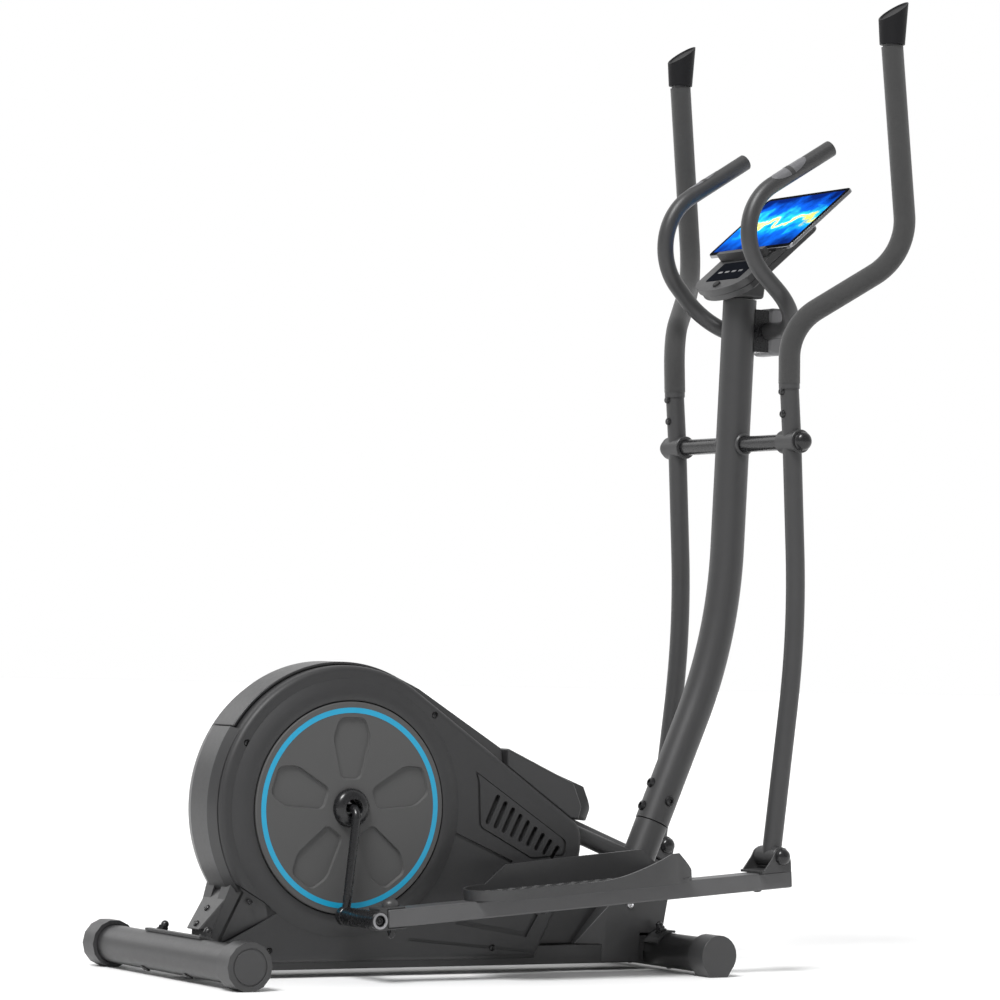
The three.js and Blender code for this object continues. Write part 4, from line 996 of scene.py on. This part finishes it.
def build_fixed_bar():
    mirrored = [(x, -y, z) for x, y, z in reversed(BAR)]
    line = bent(BAR + mirrored, [98, 79, 79, 98], 6)
    piece("bar_tube", tube(line, BAR_R, BAR_R - 2, 40), "frame", "paint", ["fixed_bar"])
    for side, word in SIDES:
        end, rear = (Vector((x, side * y, z)) for x, y, z in BAR[:2])
        run = (rear - end).normalized()
        plug = tube([end + run * 8, end + run * 0.6], BAR_R - 0.9, sides=32)
        piece(f"bar_plug_{word}", plug, "frame", "plastic", bevel=1.5, segments=3)
        middle = end + run * 95
        outward = Vector((-0.72, side * 0.52, 0.68)).normalized()
        piece(f"pulse_plate_{word}", sensor(middle, run, outward, 38), "frame", "sensor")
        piece(f"pulse_divider_{word}", sensor(middle, run, outward, 4, 0.9), "frame", "plastic")
    piece("bar_mount", cad_copy("bar_bracket"), "frame", "gloss", ["bar_bracket"], bevel=2, segments=3)
    cover = cad_copy("bar_clamp_cover")
    piece("bar_cover", cover, "frame", "clamp", ["bar_clamp_cover"], bevel=2, segments=3)


# ---------------------------------------------------------------- console
def console_plan(inset):
    """The console's outline, taken in all round: straight at the top, round at the bottom."""
    half = 76 - inset
    top = 108 - inset
    low = -103 + inset
    points = [(-70, -half), (84, -half)]
    points += curve(points[-1], (100 - inset, -half), (top, -half + 9), (top, -half + 26), 10)
    points.append((top, half - 26))
    points += curve(points[-1], (top, half - 9), (100 - inset, half), (84, half), 10)
    points.append((-70, half))
    points += curve(points[-1], (-92 + inset, half - 6), (low, 34), (low, 0), 16)
    return points + curve(points[-1], (low, -34), (-92 + inset, -half + 6), (-70, -half), 16)[:-1]


def sheet_rect(a0, a1, b0, b1, radius):
    return rounded([(a0, b0), (a1, b0), (a1, b1), (a0, b1)], radius, 6)


def console_place():
    """The matrix of the console's tilted frame: x up the slope, z out of its face."""
    tilt = Matrix.Rotation(-CONSOLE_TILT, 4, "Y")
    return ROW @ Matrix.Translation((CONSOLE_AT[0], 0, CONSOLE_AT[1])) @ tilt


def build_console_face(place):
    key_at = (-86, 0)
    display_room = prism(sheet_rect(-73.4, -20.6, -50.4, 50.4, 5), CONSOLE_FACE - 1.6, 5, "Z")
    key_room = prism(arc(7.4, 7.4, 0, 348.75, key_at, 31), CONSOLE_FACE - 9, 5, "Z")
    face = carve(prism(console_plan(0), CONSOLE_FACE - 12, CONSOLE_FACE, "Z"), display_room, key_room)
    piece("console_bezel", face, "frame", "plastic", ["console_face"], bevel=2, segments=3, place=place)
    glass = prism(sheet_rect(-73, -21, -50, 50, 5), CONSOLE_FACE - 1.2, CONSOLE_FACE + 0.4, "Z")
    piece("console_window", glass, "frame", "glass", ["console_display"], bevel=0.4, place=place)
    for i, y in enumerate((-30, -10, 10, 30)):
        mark = prism(sheet_rect(-52, -47, y - 6, y + 6, 1.5), CONSOLE_FACE + 0.3, CONSOLE_FACE + 0.5, "Z")
        piece(f"window_mark_{i}", mark, "frame", "silver", place=place)
    key = prism(arc(7, 7, 0, 348.75, key_at, 31), CONSOLE_FACE - 6, CONSOLE_FACE + 3, "Z")
    piece("key_button", key, "mode_key", "rubber", ["mode_key"], bevel=1, segments=3, place=place)


def build_tablet(place):
    shelf = cad_copy("tablet_ledge")
    piece("tablet_shelf", shelf, "frame", "plastic", ["tablet_ledge"], bevel=0.8, segments=3)
    back = prism(sheet_rect(0.4, 167, -122, 122, 9), -7.6, -1.6, "Z")
    piece("tablet_case", back, "tablet", "silver", ["tablet"], bevel=1.2, segments=4, place=place)
    front = prism(sheet_rect(1.2, 166.2, -121.2, 121.2, 8.4), -1.7, -0.7, "Z")
    piece("tablet_glass", front, "tablet", "glass", bevel=0.3, place=place)
    low, tall, half_wide = 9, 149.4, 113
    picture = prism(sheet_rect(low, low + tall, -half_wide, half_wide, 2), -0.8, -0.62, "Z")
    layer = picture.loops.layers.uv.new("screen")
    for f in picture.faces:
        for loop in f.loops:
            x, y = loop.vert.co.xy
            loop[layer].uv = ((y + half_wide) / (2 * half_wide) * 1.5, (x - low) / tall)
    piece("tablet_screen", picture, "tablet", "screen", place=place)


def build_console():
    place = console_place()
    build_console_face(place)
    build_tablet(place)

    def under(x):
        """The height of the console's underside."""
        return CONSOLE_AT[1] + (x - CONSOLE_AT[0]) * math.tan(CONSOLE_TILT) - 36

    shell = prism(console_plan(3), CONSOLE_FACE - 25, CONSOLE_FACE - 12.4, "Z")
    bmesh.ops.transform(shell, matrix=ROW.inverted() @ place, verts=shell.verts)
    piece("console_rear", shell, "frame", "plastic", ["console_back"], bevel=2.5, segments=3)
    neck = prism([(736, 1124), (798, 1124), (808, under(808)), (738, under(738))], -26, 26)
    piece("console_neck", neck, "frame", "plastic", bevel=5, segments=4)


# ---------------------------------------------------------------- drive
def build_drive():
    """Gives the inner pieces of the drive, whose shapes stay as they are, their finishes."""
    for node, finish in INNER_NODES.items():
        mesh = frame["nodes"][node].data
        material = FINISHES[finish]()
        for i in range(max(1, len(mesh.materials))):
            if mesh.materials:
                mesh.materials[i] = material
            else:
                mesh.materials.append(material)


# ---------------------------------------------------------------- studio
# The camera's place in the machine's frame, and how it is turned.
VIEW_FROM = (-3032.1, -5599.1, 522.6)
VIEW_YAW, VIEW_PITCH, VIEW_ROLL = (math.radians(a) for a in (30.777, 2.128, 1.384))
# Each sun's name, the side it shines from, its strength and its width in degrees.
SUNS = (("key", (-2.0, -1.5, 3.4), 3.0, 22), ("rim", (-1.0, 3.0, 1.8), 0.2, 30))


def build_world(scene):
    """Even white light that is full ahead of the camera and weaker behind it."""
    world = bpy.data.worlds.new("studio")
    scene.world = world
    world.use_nodes = True
    nodes, links = world.node_tree.nodes, world.node_tree.links
    background = nodes["Background"]
    background.inputs["Color"].default_value = (1, 1, 1, 1)
    facing = nodes.new("ShaderNodeVectorMath")
    facing.operation = "DOT_PRODUCT"
    facing.inputs[1].default_value = (math.sin(VIEW_YAW), math.cos(VIEW_YAW), 0)
    links.new(nodes.new("ShaderNodeTexCoord").outputs["Generated"], facing.inputs[0])
    ramp = nodes.new("ShaderNodeMapRange")
    for name, value in (("From Min", -0.3), ("From Max", 0.6), ("To Min", 0.34), ("To Max", 1.0)):
        ramp.inputs[name].default_value = value
    links.new(facing.outputs["Value"], ramp.inputs["Value"])
    links.new(ramp.outputs["Result"], background.inputs["Strength"])


def build_floor(scene):
    floor = bmesh.new()
    bmesh.ops.create_grid(floor, x_segments=2, y_segments=2, size=40)
    mesh = bpy.data.meshes.new("studio_floor")
    floor.to_mesh(mesh)
    floor.free()
    ground = bpy.data.objects.new("studio_floor", mesh)
    scene.collection.objects.link(ground)
    mesh.materials.append(surface("studio_paper", (0.93, 0.93, 0.93), rough=0.9, blotch=0.01))


def build_camera(scene):
    yaw, pitch, roll = VIEW_YAW, VIEW_PITCH, VIEW_ROLL
    look = Vector((math.sin(yaw) * math.cos(pitch), math.cos(yaw) * math.cos(pitch), math.sin(pitch)))
    right = Vector((math.cos(yaw), -math.sin(yaw), 0))
    up = right.cross(look)
    turned_right = right * math.cos(roll) + up * math.sin(roll)
    turned_up = up * math.cos(roll) - right * math.sin(roll)
    data = bpy.data.cameras.new("camera")
    data.lens = 144
    data.sensor_width = 36
    data.clip_end = 100
    camera = bpy.data.objects.new("camera", data)
    scene.collection.objects.link(camera)
    basis = Matrix((turned_right, turned_up, -look)).transposed().to_4x4()
    camera.matrix_world = Matrix.Translation(ROW @ Vector(VIEW_FROM)) @ basis
    scene.camera = camera


def build_studio():
    scene = bpy.context.scene
    scene.view_settings.view_transform = "Standard"
    build_world(scene)
    build_floor(scene)
    for name, place, strength, angle in SUNS:
        data = bpy.data.lights.new(name, "SUN")
        data.energy = strength
        data.angle = math.radians(angle)
        light = bpy.data.objects.new(name, data)
        scene.collection.objects.link(light)
        light.rotation_euler = (-Vector(place)).to_track_quat("-Z", "Y").to_euler()
    build_camera(scene)


# ---------------------------------------------------------------- add-on
def colour_property(name, description, default):
    return FloatVectorProperty(
        name=name, description=description, subtype="COLOR", size=3, min=0, max=1, default=default)


class TrainerColours(PropertyGroup):
    """Colours of the trainer's finishes."""

    paint: colour_property("Paint", "Charcoal powder coat on the steel", (0.046, 0.046, 0.047))
    beam: colour_property("Beam", "Lighter powder coat on the pedal beams", (0.095, 0.095, 0.097))
    shell: colour_property("Shell", "Plastic of the drive housing", (0.026, 0.026, 0.027))
    cover: colour_property("Cover", "Plastic of the housing's strips and covers", (0.03, 0.03, 0.031))
    disc: colour_property("Disc", "Plastic of the crank discs", (0.078, 0.079, 0.08))
    plastic: colour_property("Plastic", "Black plastic of trays and end caps", (0.042, 0.042, 0.043))
    clamp: colour_property("Clamp", "Grey plastic of the bar's clamp cover", (0.16, 0.16, 0.165))
    gloss: colour_property("Gloss", "Glossy black of cranks, caps and bolts", (0.012, 0.012, 0.013))
    foam: colour_property("Foam", "Foam of the moving grips", (0.036, 0.036, 0.036))
    ring: colour_property("Trim ring", "Blue ring round each crank disc", (0.01, 0.31, 0.52))


class TrainerSizes(PropertyGroup):
    """Sizes of the trimmings."""

    ring_radius: FloatProperty(
        name="Trim ring radius", description="Middle of the blue ring", unit="LENGTH", default=0.1536)
    ring_width: FloatProperty(
        name="Trim ring width", description="Width of the blue ring", unit="LENGTH", default=0.0085)
    foam_radius: FloatProperty(
        name="Foam radius", description="Outside radius of the foam grips", unit="LENGTH", default=0.018)


class TRAINER_OT_floor_frame(Operator):
    """Builds the rail, the two stabilizers, their caps and their saddle bolts."""

    bl_idname = "trainer.floor_frame"
    bl_label = "Floor frame"

    def execute(self, context):
        build_floor_frame()
        return {"FINISHED"}


class TRAINER_OT_front_post(Operator):
    """Builds the box foot under the mast, the web behind it, the mast's stub and the brace."""

    bl_idname = "trainer.front_post"
    bl_label = "Front post"

    def execute(self, context):
        build_front_post()
        return {"FINISHED"}


class TRAINER_OT_mast(Operator):
    """Builds the bent mast, its bolts and the swing arms' axle."""

    bl_idname = "trainer.mast"
    bl_label = "Mast"

    def execute(self, context):
        build_mast()
        return {"FINISHED"}


class TRAINER_OT_housing(Operator):
    """Builds the hollow housing halves, their collars and screws, the back, the top band and the nose."""

    bl_idname = "trainer.housing"
    bl_label = "Housing"

    def execute(self, context):
        build_housing()
        return {"FINISHED"}


class TRAINER_OT_cranks(Operator):
    """Builds the crank discs with their petals, trim rings and hubs, and the crank bars."""

    bl_idname = "trainer.cranks"
    bl_label = "Cranks"

    def execute(self, context):
        build_cranks()
        return {"FINISHED"}


class TRAINER_OT_drive(Operator):
    """Gives the drive's inner parts their finishes."""

    bl_idname = "trainer.drive"
    bl_label = "Drive"

    def execute(self, context):
        build_drive()
        return {"FINISHED"}


class TRAINER_OT_arms(Operator):
    """Builds the swing arms, their foam grips and end plugs."""

    bl_idname = "trainer.arms"
    bl_label = "Swing arms"

    def execute(self, context):
        build_arms()
        return {"FINISHED"}


class TRAINER_OT_pedals(Operator):
    """Builds the pedal beams, foot trays, hinges, sleeves and yokes."""

    bl_idname = "trainer.pedals"
    bl_label = "Pedals"

    def execute(self, context):
        build_pedals()
        return {"FINISHED"}


class TRAINER_OT_fixed_bar(Operator):
    """Builds the fixed handlebar, its pulse plates and its clamp."""

    bl_idname = "trainer.fixed_bar"
    bl_label = "Fixed bar"

    def execute(self, context):
        build_fixed_bar()
        return {"FINISHED"}


class TRAINER_OT_console(Operator):
    """Builds the console, its key and the tablet on its shelf."""

    bl_idname = "trainer.console"
    bl_label = "Console"

    def execute(self, context):
        build_console()
        return {"FINISHED"}


class TRAINER_OT_studio(Operator):
    """Sets up the floor, the lights and the camera."""

    bl_idname = "trainer.studio"
    bl_label = "Studio"

    def execute(self, context):
        build_studio()
        return {"FINISHED"}


PIECE_OPERATORS = (
    TRAINER_OT_floor_frame, TRAINER_OT_front_post, TRAINER_OT_mast, TRAINER_OT_housing,
    TRAINER_OT_cranks, TRAINER_OT_drive, TRAINER_OT_arms, TRAINER_OT_pedals,
    TRAINER_OT_fixed_bar, TRAINER_OT_console, TRAINER_OT_studio,
)


class TRAINER_PT_panel(Panel):
    """Lists the trainer's operators and settings."""

    bl_label = "Trainer"
    bl_idname = "TRAINER_PT_panel"
    bl_space_type = "VIEW_3D"
    bl_region_type = "UI"
    bl_category = "Trainer"

    def draw(self, context):
        layout = self.layout
        for group in (context.scene.trainer_sizes, context.scene.trainer_colours):
            for name in group.__annotations__:
                layout.prop(group, name)
        for operator in PIECE_OPERATORS:
            layout.operator(operator.bl_idname)


CLASSES = (TrainerColours, TrainerSizes, *PIECE_OPERATORS, TRAINER_PT_panel)


def register():
    for cls in CLASSES:
        bpy.utils.register_class(cls)
    bpy.types.Scene.trainer_sizes = PointerProperty(type=TrainerSizes)
    bpy.types.Scene.trainer_colours = PointerProperty(type=TrainerColours)


def unregister():
    del bpy.types.Scene.trainer_colours
    del bpy.types.Scene.trainer_sizes
    for cls in reversed(CLASSES):
        bpy.utils.unregister_class(cls)


def main():
    register()
    for name in (
        "floor_frame", "front_post", "mast", "housing", "cranks", "drive", "arms", "pedals", "fixed_bar",
        "console", "studio",
    ):
        getattr(bpy.ops.trainer, name)()


if __name__ == "__main__":
    main()
